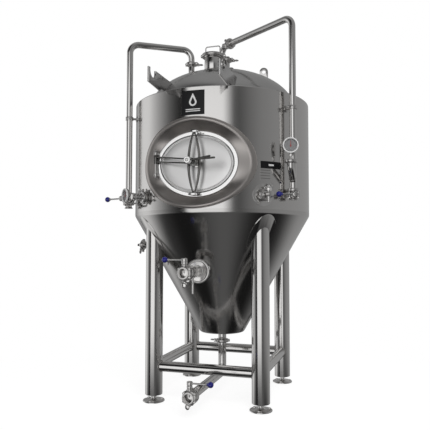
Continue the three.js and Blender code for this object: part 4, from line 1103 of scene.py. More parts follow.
@dataclass
class Plates:
    """The enamelled badge and the data plate, with generic marks only."""

    layout: Layout
    data_bearing: float = 46.5
    rule_bearing: float = 42.5

    def build(self) -> None:
        """Makes both plates and their marks."""
        badge_low, badge_high = corners_of("badge_plate")
        data_low, data_high = corners_of("data_plate")
        width = badge_high.x - badge_low.x
        self._patch("badge_enamel", 0.0, width, badge_low.z, badge_high.z, 1.4, ENAMEL, ["badge_plate"])
        middle = (badge_low.z + badge_high.z) / 2
        self._drop(middle + 2, 22.0)
        for offset in (-40.0, -50.0):
            bar = middle + offset
            self._patch(f"badge_bar_{abs(int(offset))}", 0.0, 84.0, bar, bar + 5, 1.9, PRINT)
        self._patch(
            "data_sheet", self.data_bearing, 138.0, data_low.z, data_high.z, 0.5, SHEET, ["data_plate"]
        )
        self._patch("data_band", self.data_bearing, 136.0, data_high.z - 40, data_high.z, 1.2, ENAMEL)
        self._patch("data_mark", self.data_bearing, 34.0, data_high.z - 25, data_high.z - 15, 1.6, PRINT)
        for row in range(4):
            height = data_high.z - 52 - 15 * row
            self._patch(f"data_rule_{row}", self.rule_bearing, 62.0, height, height + 3.2, 1.0, ETCH)

    def _patch(
        self, name: str, degrees: float, width: float, z0: float, z1: float, stand: float, finish: Finish,
        replaces: Iterable[str] = (),
    ) -> None:
        """A rectangle of thin sheet rolled to the tank.

        Args:
            name: Piece name.
            degrees: Bearing of its middle.
            width: Width round the tank.
            z0: Lower edge.
            z1: Upper edge.
            stand: Height of its face above the sheet.
            finish: Its surface.
            replaces: CAD nodes that it stands for.
        """
        r = self.layout.body_r
        span = width / r
        turn = Matrix.Rotation(math.radians(degrees - 90) - span / 2, 4, "Z")
        bm = bmesh.new()
        profile = [(r + 0.05, z0), (r + stand, z0), (r + stand, z1), (r + 0.05, z1)]
        verts = [bm.verts.new((x, 0, z)) for x, z in profile]
        edges = [bm.edges.new((verts[i], verts[(i + 1) % 4])) for i in range(4)]
        bmesh.ops.spin(bm, geom=verts + edges, cent=(0, 0, 0), axis=(0, 0, 1), angle=span, steps=24)
        bmesh.ops.holes_fill(bm, edges=[e for e in bm.edges if e.is_boundary], sides=0)
        bmesh.ops.recalc_face_normals(bm, faces=bm.faces)
        Form().take(bm, turn).piece(name, finish, replaces=replaces, slot="black")

    @staticmethod
    def _teardrop(size: float) -> list[tuple[float, float]]:
        """Outline of a drop: a half circle below, and two straight flanks up to a point."""
        turns = [math.radians(155 + 230 * i / 40) for i in range(41)]
        return [(size * math.cos(a), size * math.sin(a)) for a in turns] + [(0.0, size * 2.3)]

    def _drop(self, height: float, size: float) -> None:
        """A plain drop outline on the badge.

        Args:
            height: Height of the round part's centre.
            size: Radius of the round part.
        """
        place = facing(Vector((0, -self.layout.body_r - 1.4, height)), FRONT, RIGHT)
        outer = Form().prism(self._teardrop(size), 1.2, place, 0.0)
        inner = Form().prism(self._teardrop(size * 0.55), 6.0, place, 0.0)
        outer.boolean(inner, Join.CUT).piece("badge_drop", PRINT, slot="black")


# ---------- stand ----------
@dataclass
class Stand:
    """Four tubular legs with screw feet and the frame of bars that ties them."""

    layout: Layout
    bar_r: float = 30.15
    foot_r: float = 64.0
    leg_bottom: float = 40.0

    def build(self) -> None:
        """Makes the legs, feet and bars."""
        lay = self.layout
        for end, sy in (("front", -1), ("rear", 1)):
            for hand, sx in (("left", -1), ("right", 1)):
                self._leg(f"{end}_{hand}", Vector((sx * lay.leg_xy, sy * lay.leg_xy, 0)))
        reach = lay.leg_xy
        ends = {
            "front": ((-reach, -reach), (reach, -reach)), "rear": ((-reach, reach), (reach, reach)),
            "left": ((-reach, -reach), (-reach, reach)), "right": ((reach, -reach), (reach, reach)),
        }
        for side, (start, stop) in ends.items():
            low, high = corners_of(f"crossbar_{side}")
            height = (low.z + high.z) / 2
            a, b = Vector((*start, height)), Vector((*stop, height))
            inward = (b - a).normalized() * (lay.leg_r - 4)
            Form().tube([a + inward, b - inward], self.bar_r, sides=64).piece(
                f"tie_bar_{side}", TUBE, replaces=[f"crossbar_{side}"], slot="steel"
            )
            welds = Form()
            for spot, way in ((a, inward), (b, -inward)):
                self._saddle(welds, spot, way)
            welds.piece(f"tie_welds_{side}", BEAD, slot="steel")

    def _saddle(self, form: Form, spot: Vector, way: Vector) -> None:
        """Adds the weld bead where a bar meets a leg.

        Args:
            form: The form it joins.
            spot: The leg's axis at the bar's height.
            way: Direction from the leg into the bar.
        """
        lay = self.layout
        bead = Form().torus(self.bar_r + 0.8, 2.2, facing(spot, way), 96)
        along = way.normalized()
        side = along.cross(UP)
        for vert in bead.mesh.verts:
            across = (vert.co - spot).dot(side)
            vert.co += along * math.sqrt(max(0.0, lay.leg_r**2 - across**2))
        bmesh.ops.recalc_face_normals(bead.mesh, faces=bead.mesh.faces)
        form.take(bead.mesh, Matrix())

    def _leg(self, name: str, spot: Vector) -> None:
        """One leg and its foot.

        Args:
            name: Corner name.
            spot: The leg's axis at the floor.
        """
        lay = self.layout
        _, high = corners_of(f"leg_{name}")
        place = Matrix.Translation(spot)
        leg = Form().disc(lay.leg_r, self.leg_bottom, high.z + 2, place, 1.5, 128)
        slope = (lay.body_r - lay.tip_r) / (lay.cone_top - lay.cone_tip)
        far, over = 1200, 130
        keep = Form().lathe([
            (0, 0), (far, 0), (far, far + 100), (lay.body_r + over * slope, lay.cone_top + over),
            (lay.tip_r - 6, lay.cone_tip - 10), (0, lay.cone_tip - 10), (0, 0),
        ], steps=192)
        leg.boolean(keep, Join.KEEP).piece(
            f"leg_tube_{name}", TUBE, replaces=[f"leg_{name}"], slot="steel", sharp=40
        )
        sole = [
            (0, 0), (self.foot_r, 0), (self.foot_r, 6), (58, 8), (24, 11), (15, 16), (12, 26), (12, 92),
            (0, 92),
        ]
        foot = Form().turned(sole, 1.6, 3, place, 96)
        for degrees in (0.0, 120.0, 240.0):
            hole = bearing(degrees, self.foot_r - 14) + spot
            foot.disc(8.5, 7.2, 12.5, Matrix.Translation(hole), 1.2, 6)
        foot.disc(19, self.leg_bottom - 12.5, self.leg_bottom - 0.4, place, 1.2, 6)
        body = f"{name}_foot"
        foot.piece(f"screw_foot_{name}", BRIGHT, body, [f"foot_{name}"], "polished")


# ---------- manway ----------
@dataclass
class Manway:
    """The oval manway: dished surround, neck, door, yoke, hinge and screw handle."""

    layout: Layout
    neck_a: float = 240.5
    neck_b: float = 185.0
    rim: float = 23.5
    stud_r: float = 7.5
    sleeve_r: float = 12.0
    reach: float = 152.0
    yoke_gap: float = 31.0
    yoke_t: float = 16.0
    bow: float = 32.0
    hinge_x: float = -238.0
    hinge_out: float = 14.0
    knuckle_levels: tuple[float, ...] = (-55.0, 65.0)
    bar_levels: tuple[tuple[float, float], ...] = ((46.0, 12.0), (18.0, -10.0))
    lip_from: float = 0.64
    lip_rise: float = 5.0
    centre: Vector = field(init=False)
    place: Matrix = field(init=False)

    def __post_init__(self) -> None:
        """Sets the frame that the oval pieces are drawn in."""
        self.centre = Vector((0, self.layout.neck_y, self.layout.manway_z))
        self.place = facing(self.centre, FRONT, RIGHT)

    def spot(self, x: float, out: float, z: float) -> Vector:
        """A point at x across, a distance in front of the neck's plane and z above the centre."""
        return self.centre + Vector((x, -out, z))

    def build(self) -> None:
        """Makes every manway piece."""
        self._surround()
        self._neck()
        self._door()
        self._hinge()
        self._yoke()
        self._handle()

    def _dish_point(self, along: float, angle: float, depth: float) -> Vector:
        """A point on the dish: a hollow up to the lip's foot, then a rolled lip that ends on the sheet.

        Args:
            along: 0 at the neck, 1 at the outer edge.
            angle: Angle round the oval.
            depth: 1 on the front face, 0 on the back.

        Returns:
            The point in millimetres.
        """
        lay = self.layout
        start_a, start_b, start = self.neck_a + 0.3, self.neck_b + 0.3, lay.neck_y + 9
        x = (start_a + (lay.flare_a - start_a) * along) * math.cos(angle)
        z = (start_b + (lay.flare_b - start_b) * along) * math.sin(angle)
        foot = (start_a + (lay.flare_a - start_a) * self.lip_from) * math.cos(angle)
        if along <= self.lip_from:
            shore = -math.sqrt(lay.body_r**2 - foot**2)
            y = start + (shore - start) * (along / self.lip_from)
        else:
            arch = math.sin(math.pi * (along - self.lip_from) / (1 - self.lip_from))
            y = -math.sqrt(lay.body_r**2 - x**2) - self.lip_rise * arch
        return Vector((x, y - depth * 1.6, z + lay.manway_z))

    def _surround(self) -> None:
        """The dish between the sheet and the neck, with its rolled outer lip."""
        steps = 30
        front = [(1 + i / steps, 1.0) for i in range(steps + 1)]
        outline = front + [(r, 0.0) for r in (2 - i / steps for i in range(steps + 1))]
        dish = Form().lathe([*outline, outline[0]], steps=224)
        for vert in dish.mesh.verts:
            vert.co = self._dish_point(vert.co.xy.length - 1, math.atan2(vert.co.y, vert.co.x), vert.co.z)
        bmesh.ops.recalc_face_normals(dish.mesh, faces=dish.mesh.faces)
        dish.piece("manway_dish", FLARE, replaces=["manway_surround"], slot="cladding", sharp=70)
        turns = [TAU * i / 10 for i in range(11)]
        bead = Form().lathe([(1000 + 1.8 * math.cos(a), 1.4 * math.sin(a)) for a in turns], steps=224)
        for vert in bead.mesh.verts:
            spot = self._dish_point(1.0, math.atan2(vert.co.y, vert.co.x), 1.0)
            outward = Vector((spot.x, 0, spot.z - self.layout.manway_z)).normalized()
            vert.co = spot + outward * (vert.co.xy.length - 1000) + FRONT * vert.co.z
        bmesh.ops.recalc_face_normals(bead.mesh, faces=bead.mesh.faces)
        bead.piece("manway_rim_bead", FLARE, slot="cladding", sharp=80)

    def _neck(self) -> None:
        """The thick oval ring that the door closes on, with its yoke lugs."""
        outline = [
            (-self.rim / 2, 0), (0, 0), (0, -60), (-self.rim, -60), (-self.rim, 0), (-self.rim / 2, 0),
        ]
        neck = Form().oval(rounded(outline, 4.0, 5), self.neck_a, self.neck_b, self.place)
        bore, step = -self.rim + 1, -self.rim - 15
        seat = [(bore, -18), (step, -18), (step, -23), (bore, -23), (bore, -18)]
        neck.oval(rounded(seat, 1.0, 2), self.neck_a, self.neck_b, self.place)
        for sign in (-1, 1):
            level = sign * (self.neck_b - self.rim / 2)
            deep = self.yoke_gap + self.yoke_t + 14
            neck.box((8, deep, 13), Matrix.Translation(self.spot(sign * 17, deep / 2 - 3, level)), 1.6)
            neck.box((34, 8, 13), Matrix.Translation(self.spot(sign * 4, deep - 6, level)), 1.6)
            neck.disc(4, -12, 12, facing(self.spot(sign * 17, deep - 12, level), RIGHT), 0.8, 24)
        neck.piece("manway_ring", RIM, replaces=["manway_neck"], slot="polished")

    def _door(self) -> None:
        """The pressed door with its rolled groove, stud and boss."""
        a, b = self.neck_a - self.rim - 2.5, self.neck_b - self.rim - 2.5
        outline = [
            (0, -10), (0, -2.6), (-2, -1.4), (-7, -1.4), (-8.5, -7.0), (-12, -7.0), (-13.5, -1.4),
            (-60, -1.2),
            (-b, -1.0),
        ]
        back = [(-b, -8.5), (-6, -10), (0, -10)]
        door = Form().oval([*rounded(outline, 1.2, 3), *back], a, b, self.place)
        door.piece("door_plate", DOOR, "door", ["manway_door"], "polished", sharp=50)
        stud = Form().disc(self.stud_r, 0, self.reach - 40, self.place, 1.0, 32)
        stud.disc(22, -1, 6, self.place, 1.6, 6)
        for i in range(22):
            stud.torus(self.stud_r - 0.2, 0.9, self.place @ Matrix.Translation((0, 0, 20 + 4 * i)), 32)
        stud.piece("door_stud", BRIGHT, "door", slot="polished")

    def _hinge(self) -> None:
        """Fixed knuckles and pin, and the swinging arm with its two bars."""
        pivot = self.spot(self.hinge_x, self.hinge_out, 0)
        fixed = Form().disc(6, -70, 78, Matrix.Translation(pivot), 1.0, 32)
        fixed.ball((9, 9, 6), Matrix.Translation(pivot + UP * 80))
        fixed.ball((8, 8, 5), Matrix.Translation(pivot - UP * 71))
        for level in self.knuckle_levels:
            fixed.disc(12, level - 9, level + 9, Matrix.Translation(pivot), 1.6, 40)
            fixed.box((16, 20, 12), Matrix.Translation(pivot + Vector((6, 12, level))), 1.5)
        fixed.piece("hinge_knuckles", CAST, slot="cast")
        back = self.reach - 72
        front = back + 26
        arm = Form().ring(6.5, 13, 8, 54, Matrix.Translation(pivot), 1.4)
        for z_pin, z_hub in self.bar_levels:
            start = pivot + UP * z_pin
            stop = self.spot(-12, (back + front) / 2, z_hub)
            way = stop - start
            arm.box((7, 17, way.length), facing(start + way / 2, way, UP), 2.4)
        arm.ring(self.sleeve_r + 0.5, self.sleeve_r + 8, back, front, self.place, 1.5)
        arm.piece("hinge_arm_bars", DARK_STEEL, "door", ["manway_hinge_arm"], "polished")

    def _bar_side(self, sign: int, width: float) -> list[tuple[float, float]]:
        """One side of a yoke bar: a parabola bowed out from the centre line.

        Args:
            sign: -1 for the left bar, 1 for the right.
            width: Distance out from the bar's middle.

        Returns:
            Points from the lower tip to the upper.
        """
        half, count = self.neck_b - 3, 28
        side = []
        for i in range(count + 1):
            bulge = (self.bow + width) * (1 - (1 - 2 * i / count) ** 2)
            side.append((sign * (bulge + width * 0.4 - 1), -half + 2 * half * i / count))
        return side

    def _yoke(self) -> None:
        """Two bowed bars joined at the tips and by the hub plate."""
        middle = self.yoke_gap + self.yoke_t / 2
        yoke = Form()
        for sign in (-1, 1):
            outline = self._bar_side(sign, -3.5) + list(reversed(self._bar_side(sign, 4.5)))
            yoke.prism(outline, self.yoke_t, self.place @ Matrix.Translation((0, 0, middle)), 1.4)
        yoke.box((2 * self.bow + 8, 34, self.yoke_t), self.place @ Matrix.Translation((0, 0, middle)), 2.0)
        yoke.disc(19, self.yoke_gap - 1, self.yoke_gap + self.yoke_t + 0.2, self.place, 1.0)
        for sign in (-1, 1):
            tip = self.place @ Matrix.Translation((0, sign * (self.neck_b - 15), middle))
            yoke.box((16, 24, self.yoke_t), tip, 3.0)
        yoke.piece("yoke_bars", DARK_STEEL, "yoke", ["manway_yoke"], "polished")
        washer = self.yoke_gap + self.yoke_t + 0.4
        Form().ring(self.stud_r + 0.6, 18, washer, washer + 5.6, self.place, 1.2).piece(
            "thrust_ring", CAST, "thrust_washer", ["manway_thrust_washer"], "cast"
        )

    def _handle(self) -> None:
        """The screw sleeve and boss with two levers."""
        start = self.yoke_gap + self.yoke_t + 7
        boss = self.reach - 30
        knob = Form().disc(self.sleeve_r, start, boss + 4, self.place, 1.0, 48)
        bore, top = self.stud_r + 1, self.reach
        outline = [(bore, boss), (18, boss), (18, top), (9, top), (9, top - 3), (bore, top - 3), (bore, boss)]
        knob.turned(outline, 2.0, 4, self.place, 64)
        knob.piece("handle_boss", RIM, "clamp_handle", ["manway_handle"], "cast")
        levers = Form()
        for angle, length, out in ((2, 150, self.reach - 9), (8, 122, self.reach - 21)):
            a = math.radians(angle)
            tip = self.spot(math.cos(a) * length, out, math.sin(a) * length)
            levers.tube([self.spot(12, out, 0), tip], 5.2, sides=28)
            levers.ball((5.2, 5.2, 5.2), Matrix.Translation(tip))
        levers.piece("handle_levers", DARK_STEEL, "clamp_handle", slot="cast")


# ---------- valves and gauges ----------
@dataclass
class Valve:
    """A butterfly valve with a lever and ball knob."""

    name: str
    body: str
    ferrule: Ferrule
    half: float
    radius: float
    tower: float
    rod: float
    centre: Vector
    flow: Vector
    stem: Vector
    lever: Vector
    bolt_angles: tuple[float, ...] = (55.0, 125.0, 235.0, 305.0)

    def _bolt_places(self) -> list[Matrix]:
        """Where the body's bolts stand, along the flow."""
        places = []
        for angle in map(math.radians, self.bolt_angles):
            out = self.stem * math.cos(angle) + self.flow.cross(self.stem) * math.sin(angle)
            places.append(facing(self.centre + out * (self.radius - 3), self.flow))
        return places

    def build(self) -> None:
        """Makes the body, bolts, stem tower, lever and knob."""
        place = facing(self.centre, self.flow, self.stem)
        f, half, r = self.ferrule, self.half, self.radius
        outline = [
            (f.tube - 1.6, half), (f.flange, half), (f.flange, half - 3), (f.tube + 2, half - 8),
            (f.tube + 2, 15),
            (r, 12), (r, 1.2), (r - 2.5, 0), (r, -1.2), (r, -12), (f.tube + 2, -15), (f.tube + 2, 8 - half),
            (f.flange, 3 - half), (f.flange, -half), (f.tube - 1.6, -half),
        ]
        shell = Form().lathe([*rounded(outline, 1.6, 3), outline[0]], place, 80)
        across = facing(self.centre, self.stem)
        shell.disc(14, r - 10, r + 8, across, 1.6, 40)
        for spot in self._bolt_places():
            shell.disc(8, -13.5, 13.5, spot, 1.5, 32)
        shell.piece(f"{self.name}_valve_shell", CAST, replaces=[f"{self.name}_valve_body"], slot="cast")
        bolts = Form()
        for spot in self._bolt_places():
            bolts.disc(5.6, -18, 18, spot, 1.0, 6)
        bolts.piece(f"{self.name}_valve_bolts", BRIGHT, slot="cast")
        plate = Form().ball((f.tube - 2.8, f.tube - 2.8, 3.0), place)
        plate.disc(5, 0, r + 8, across, 0.2, 24)
        plate.piece(f"{self.name}_valve_disc", BRIGHT, self.body, slot="polished")
        top = r + self.tower
        outline = [
            (0, r + 8.4), (15.5, r + 8.4), (15.5, r + 20), (13.2, r + 22), (13.2, top - 21), (15.8, top - 19),
            (15.8, top - 2), (12, top), (0, top),
        ]
        tower = Form().turned(outline, 1.4, 3, across, 56)
        out = self.centre + self.stem * (top - 10)
        tip = out + self.lever * self.rod
        tower.tube([out, tip], 4.6, sides=28)
        tower.disc(7.5, self.rod - 24, self.rod - 12, facing(out, self.lever), 1.5, 32)
        tower.piece(f"{self.name}_lever_arm", BRIGHT, self.body, [f"{self.name}_valve_handle"], "blue")
        knob = Form().ball((16, 16, 16), Matrix.Translation(tip))
        knob.disc(8, self.rod - 19, self.rod - 12, facing(out, self.lever), 1.0, 40)
        knob.piece(f"{self.name}_lever_knob", KNOB, self.body, slot="blue")


@dataclass
class Gauge:
    """A dial pressure gauge."""

    name: str
    body: str
    centre: Vector
    front: Vector
    radius: float = 44.0
    depth: float = 24.0
    marks: int = 31
    sweep: float = 270.0

    def build(self) -> None:
        """Makes the case, bezel, dial, marks, needle and glass."""
        place = facing(self.centre, self.front, UP)
        r, d = self.radius, self.depth
        case = [
            (0, -d), (r - 6, -d), (r - 3, -d + 4), (r - 3, -8.6), (r - 5.6, -8.6), (r - 5.6, -12), (0, -12)
        ]
        Form().turned(case, 1.6, 4, place, 96).piece(
            f"{self.name}_gauge_case", BRIGHT, slot="polished"
        )
        bezel = [
            (r - 5.5, -9), (r, -9), (r, -1.5), (r - 1.5, 0), (r - 6.5, 0), (r - 8, -1.6), (r - 8, -3),
            (r - 5.5, -3.6), (r - 5.5, -9),
        ]
        Form().turned(bezel, 0.8, 3, place, 96).piece(
            f"{self.name}_gauge_bezel", BEZEL, slot="polished"
        )
        Form().disc(r - 5, -12, -9.8, place, 0.2, 72).piece(f"{self.name}_gauge_dial", DIAL, slot="polished")
        ticks = Form()
        for i in range(self.marks):
            size, width = (4.4, 1.4) if i % 5 == 0 else (2.4, 0.8)
            angle = math.radians(self.sweep * (i / (self.marks - 1) - 0.5))
            turn = place @ Matrix.Rotation(angle, 4, "Z")
            ticks.box((size, width, 0.5), turn @ Matrix.Translation((r - 10 - size / 2, 0, -9.7)), 0.1)
        ticks.piece(f"{self.name}_gauge_ticks", TICK, slot="black")
        hand = [(-9, 2.2), (-9, -2.2), (0, -1.8), (28, -0.5), (28, 0.5), (0, 1.8)]
        needle = Form().prism(hand, 0.9, place @ Matrix.Translation((0, 0, -7.4)), 0.1)
        needle.disc(4.2, -8.6, -5.6, place, 0.6, 32)
        needle.piece(f"{self.name}_needle", NEEDLE, self.body, [f"{self.name}_gauge_needle"], "red")
        glass = Form().lathe([(0, -1.6), (r - 6, -3.8), (r - 6, -4.8), (0, -2.6)], place, 72)
        glass.piece(f"{self.name}_gauge_glass", GLASS, slot="polished")


# ---------- pipe arms ----------
@dataclass
class PipeArms:
    """The cleaning arm on the left and the blow-off arm on the right."""

    layout: Layout
    head: Head
    bend: float = 57.0
    valve_half: float = 27.0
    valve_r: float = 33.0
    valve_tower: float = 36.0
    gauge_stand: float = 8.0
    wing_side: Vector = field(default_factory=lambda: Vector((0.42, 0.9, 0)))

    def build(self) -> None:
        """Makes both arms with their valves, gauges and clamps."""
        lay = self.layout
        cip_low, cip_high = corners_of("cip_arm")
        blow_high = corners_of("blowoff_arm")[1]
        self._cip(cip_high.z - lay.tube_r, cip_low.z)
        self._blowoff(blow_high.z - lay.tube_r, cip_low.z)

    def _cip(self, top: float, foot: float) -> None:
        """The cleaning arm from its port on the head down to its valve.

        Args:
            top: Height of the level run.
            foot: Height of the lower flange face.
        """
        lay = self.layout
        start = self.head.cip + UP * JOINT_GAP
        outer = bearing(lay.cip_bearing, lay.arm_r, top)
        low = Vector((outer.x, outer.y, foot))
        arm = Form().tube([start, Vector((start.x, start.y, top)), outer, low], lay.tube_r, self.bend)
        FERRULE_15.flare(arm, start, UP)
        FERRULE_15.flare(arm, low, UP)
        arm.piece("cip_pipe", TUBE, replaces=["cip_arm"], slot="steel")
        FERRULE_15.clamp("cip_top_band", self.head.cip + UP, UP, RIGHT, ["cip_port_clamp"])
        side = bearing(lay.cip_bearing + 90)
        FERRULE_15.clamp("cip_valve_band", low - UP, UP, side)
        centre = low - UP * (JOINT_GAP + self.valve_half)
        Valve(
            "cip", "cip_handle", FERRULE_15, self.valve_half, self.valve_r, self.valve_tower, 125, centre,
            DOWN,
            Vector((-0.35, -0.94, 0)).normalized(), Vector((-0.94, 0.35, 0)).normalized(),
        ).build()
        below = centre - UP * (self.valve_half + JOINT_GAP)
        FERRULE_15.clamp("cip_spool_band", below + UP, UP, side)
        spool = Form()
        FERRULE_15.flare(spool, below, DOWN)
        spool.ring(lay.tube_r - 1.6, lay.tube_r, -22, 0, Matrix.Translation(below), 0.2)
        FERRULE_15.flare(spool, below - UP * 28.4, UP)
        gauge = Vector((low.x + 30, low.y - 104, corners_of("cip_gauge")[1].z - Gauge.radius))
        reach = Vector((gauge.x, gauge.y, below.z - 14))
        outward = Vector((reach.x - below.x, reach.y - below.y, 0))
        leg_start = Vector((below.x, below.y, reach.z)) + outward.normalized() * (lay.tube_r - 2)
        spool.tube([leg_start, reach, gauge - UP * 38], 6.2, 12, 24)
        spool.disc(9.5, 16, 34, facing(leg_start, outward), 1.2, 6)
        spool.disc(9.5, -50, -38, Matrix.Translation(gauge), 1.2, 6)
        spool.piece("cip_gauge_spool", BRIGHT, replaces=["cip_gauge"], slot="polished")
        front = bearing(-42)
        Gauge("cip", "cip_needle", gauge + front * self.gauge_stand, front).build()

    def _blowoff(self, top: float, foot: float) -> None:
        """The blow-off arm with its gauge branch.

        Args:
            top: Height of the level run.
            foot: Height of the lower flange face.
        """
        lay = self.layout
        start = self.head.blow + UP * JOINT_GAP
        outer = bearing(lay.blow_bearing, lay.arm_r, top)
        low = Vector((outer.x, outer.y, foot))
        over = Vector((start.x, start.y, top))
        arm = Form().tube([start, over, outer, low], lay.tube_r, self.bend)
        FERRULE_15.flare(arm, start, UP)
        FERRULE_15.flare(arm, low, UP)
        run = (outer - over).normalized()
        joint = over + run * (self.bend + 24)
        FERRULE_15.flare(arm, joint - run, -run)
        FERRULE_15.flare(arm, joint + run, run)
        tip = Vector((outer.x - 1, outer.y - 68, lay.cone_top + 280))
        fork = Vector((outer.x, outer.y, lay.cone_top + 178))
        branch = [fork, Vector((tip.x, tip.y, lay.cone_top + 245)), tip]
        arm.tube(branch, lay.tube_r, 34)
        FERRULE_15.flare(arm, tip, DOWN)
        arm.torus(lay.tube_r + 0.8, 1.6, facing(fork + (branch[1] - fork) * 0.22, branch[1] - fork))
        arm.piece("blowoff_pipe", TUBE, replaces=["blowoff_arm"], slot="steel")
        FERRULE_15.clamp(
            "blowoff_top_band", self.head.blow + UP, UP, Vector((1, -0.1, 0)), ["blowoff_port_clamp"]
        )
        FERRULE_15.clamp("blowoff_run_band", joint, run, run.cross(UP))
        FERRULE_15.clamp("blowoff_valve_band", low - UP, UP, self.wing_side)
        centre = low - UP * (JOINT_GAP + self.valve_half)
        Valve(
            "blowoff", "blowoff_handle", FERRULE_15, self.valve_half, self.valve_r, self.valve_tower, 90,
            centre, DOWN,
            Vector((0.35, -0.94, 0)).normalized(), Vector((-0.94, -0.35, 0)).normalized(),
        ).build()
        FERRULE_15.clamp("branch_band", tip + UP, UP, self.wing_side)
        gauge = Vector((tip.x, tip.y, tip.z + 90))
        rim = FERRULE_15.flange
        outline = [(0, 2), (rim, 2), (rim, 4.6), (16, 8.4), (6.2, 9), (6.2, 56), (0, 56)]
        cap = Form().turned(outline, 1.2, 3, Matrix.Translation(tip), 48)
        cap.disc(9.5, 30, 42, Matrix.Translation(tip), 1.2, 6)
        cap.piece("blowoff_gauge_cap", BRIGHT, replaces=["blowoff_gauge"], slot="polished")
        front = bearing(10)
        Gauge("blowoff", "blowoff_needle", gauge + front * self.gauge_stand, front).build()


# ---------- outlets and small ports ----------
@dataclass
class Outlets:
    """The racking port with its turning dip arm, and the dump line below the cone."""

    layout: Layout
    half: float = 30.0
    cap_y: float = -458.0
    collar_y: float = -541.0
    lever_length: float = 116.0

    def build(self) -> None:
        """Makes both outlet lines."""
        self._racking()
        self._dump()

    def _racking(self) -> None:
        """The racking port, its cap, dip arm and valve."""
        low, high = corners_of("racking_cap")
        height = (low.z + high.z) / 2
        face = corners_of("racking_valve_body")[0].y
        place = facing(Vector((0, 0, height)), FRONT)
        neck = Form().disc(FERRULE_40.tube, 330, -self.cap_y - 4, place, 0.4, 80)
        FERRULE_40.flare(neck, Vector((0, self.cap_y, height)), -FRONT)
        neck.piece("racking_neck", TUBE, slot="steel")
        weld = Form().ring(52, 66, 300, 470, place, 0.1)
        slab = cone_shell(self.layout, -1.0, 3.0, 192)
        weld.boolean(slab, Join.KEEP).piece("racking_pad", BRIGHT, slot="cladding", sharp=40)
        rim, bore = FERRULE_40.flange, FERRULE_20.tube + 1
        outline = [(bore, 2), (rim, 2), (rim, 6), (56, 8.8), (32, 8.8), (31, 14), (bore, 14), (bore, 2)]
        cap = Form().turned(outline, 1.2, 3, facing(Vector((0, self.cap_y, height)), FRONT), 80)
        cap.piece("racking_cover", BRIGHT, replaces=["racking_cap"], slot="polished")
        FERRULE_40.clamp(
            "racking_port_band", Vector((0, self.cap_y - 1, height)), FRONT, Vector((-1, 0, -0.3))
        )
        arm_end = face + 2 * self.half + JOINT_GAP
        corner = Vector((0, -140, height))
        arm = Form().tube([Vector((0, arm_end, height)), corner, corner - UP * 60], FERRULE_20.tube, 34)
        FERRULE_20.flare(arm, Vector((0, arm_end, height)), -FRONT)
        collar = Vector((0, self.collar_y, height))
        arm.ring(24.9, 32.4, -8, 8, facing(collar, FRONT), 1.6)
        arm.piece("dip_pipe", TUBE, "dip_arm", ["racking_arm"], "polished")
        tip = collar - UP * self.lever_length
        lever = Form().tube([collar - UP * 27, tip], 5.4, sides=28)
        lever.ball((5.4, 5.4, 5.4), Matrix.Translation(tip))
        lever.piece("dip_pipe_lever", BRIGHT, "dip_arm", slot="polished")
        centre = Vector((0, face + self.half, height))
        Valve(
            "racking", "racking_handle", FERRULE_20, self.half, 38, 40, 111, centre, FRONT, UP,
            Vector((-1, 0, 0)),
        ).build()
        FERRULE_20.clamp(
            "racking_valve_band", Vector((0, arm_end - 1, height)), FRONT, Vector((-0.6, 0, -0.8))
        )

    def _dump(self) -> None:
        """The dump elbow under the cone with its valve and clamps."""
        _, high = corners_of("dump_pipe")
        low, top = corners_of("dump_valve_body")
        height = corners_of("dump_pipe")[0].z + 32.0
        end = top.y + JOINT_GAP
        pipe = Form().tube(
            [Vector((0, 0, high.z)), Vector((0, 0, height)), Vector((0, end, height))], FERRULE_20.tube, 57
        )
        FERRULE_20.flare(pipe, Vector((0, 0, high.z)), DOWN)
        FERRULE_20.flare(pipe, Vector((0, end, height)), -FRONT)
        pipe.piece("dump_elbow", TUBE, replaces=["dump_pipe"], slot="steel")
        tail = Form().disc(FERRULE_20.tube, high.z + 8, 378, Matrix(), 0.3, 64)
        FERRULE_20.flare(tail, Vector((0, 0, high.z + 2)), UP)
        tail.piece("cone_outlet_tail", TUBE, slot="steel")
        FERRULE_20.clamp(
            "cone_outlet_band", Vector((0, 0, high.z + 1)), DOWN, Vector((-1, -0.3, 0)), ["outlet_clamp"]
        )
        centre = Vector((0, low.y + self.half, height))
        Valve("dump", "dump_handle", FERRULE_20, self.half, 38, 44, 116, centre, FRONT, UP, RIGHT).build()
        FERRULE_20.clamp("dump_valve_band", Vector((0, end - 1, height)), FRONT, Vector((-0.7, 0, -0.7)))


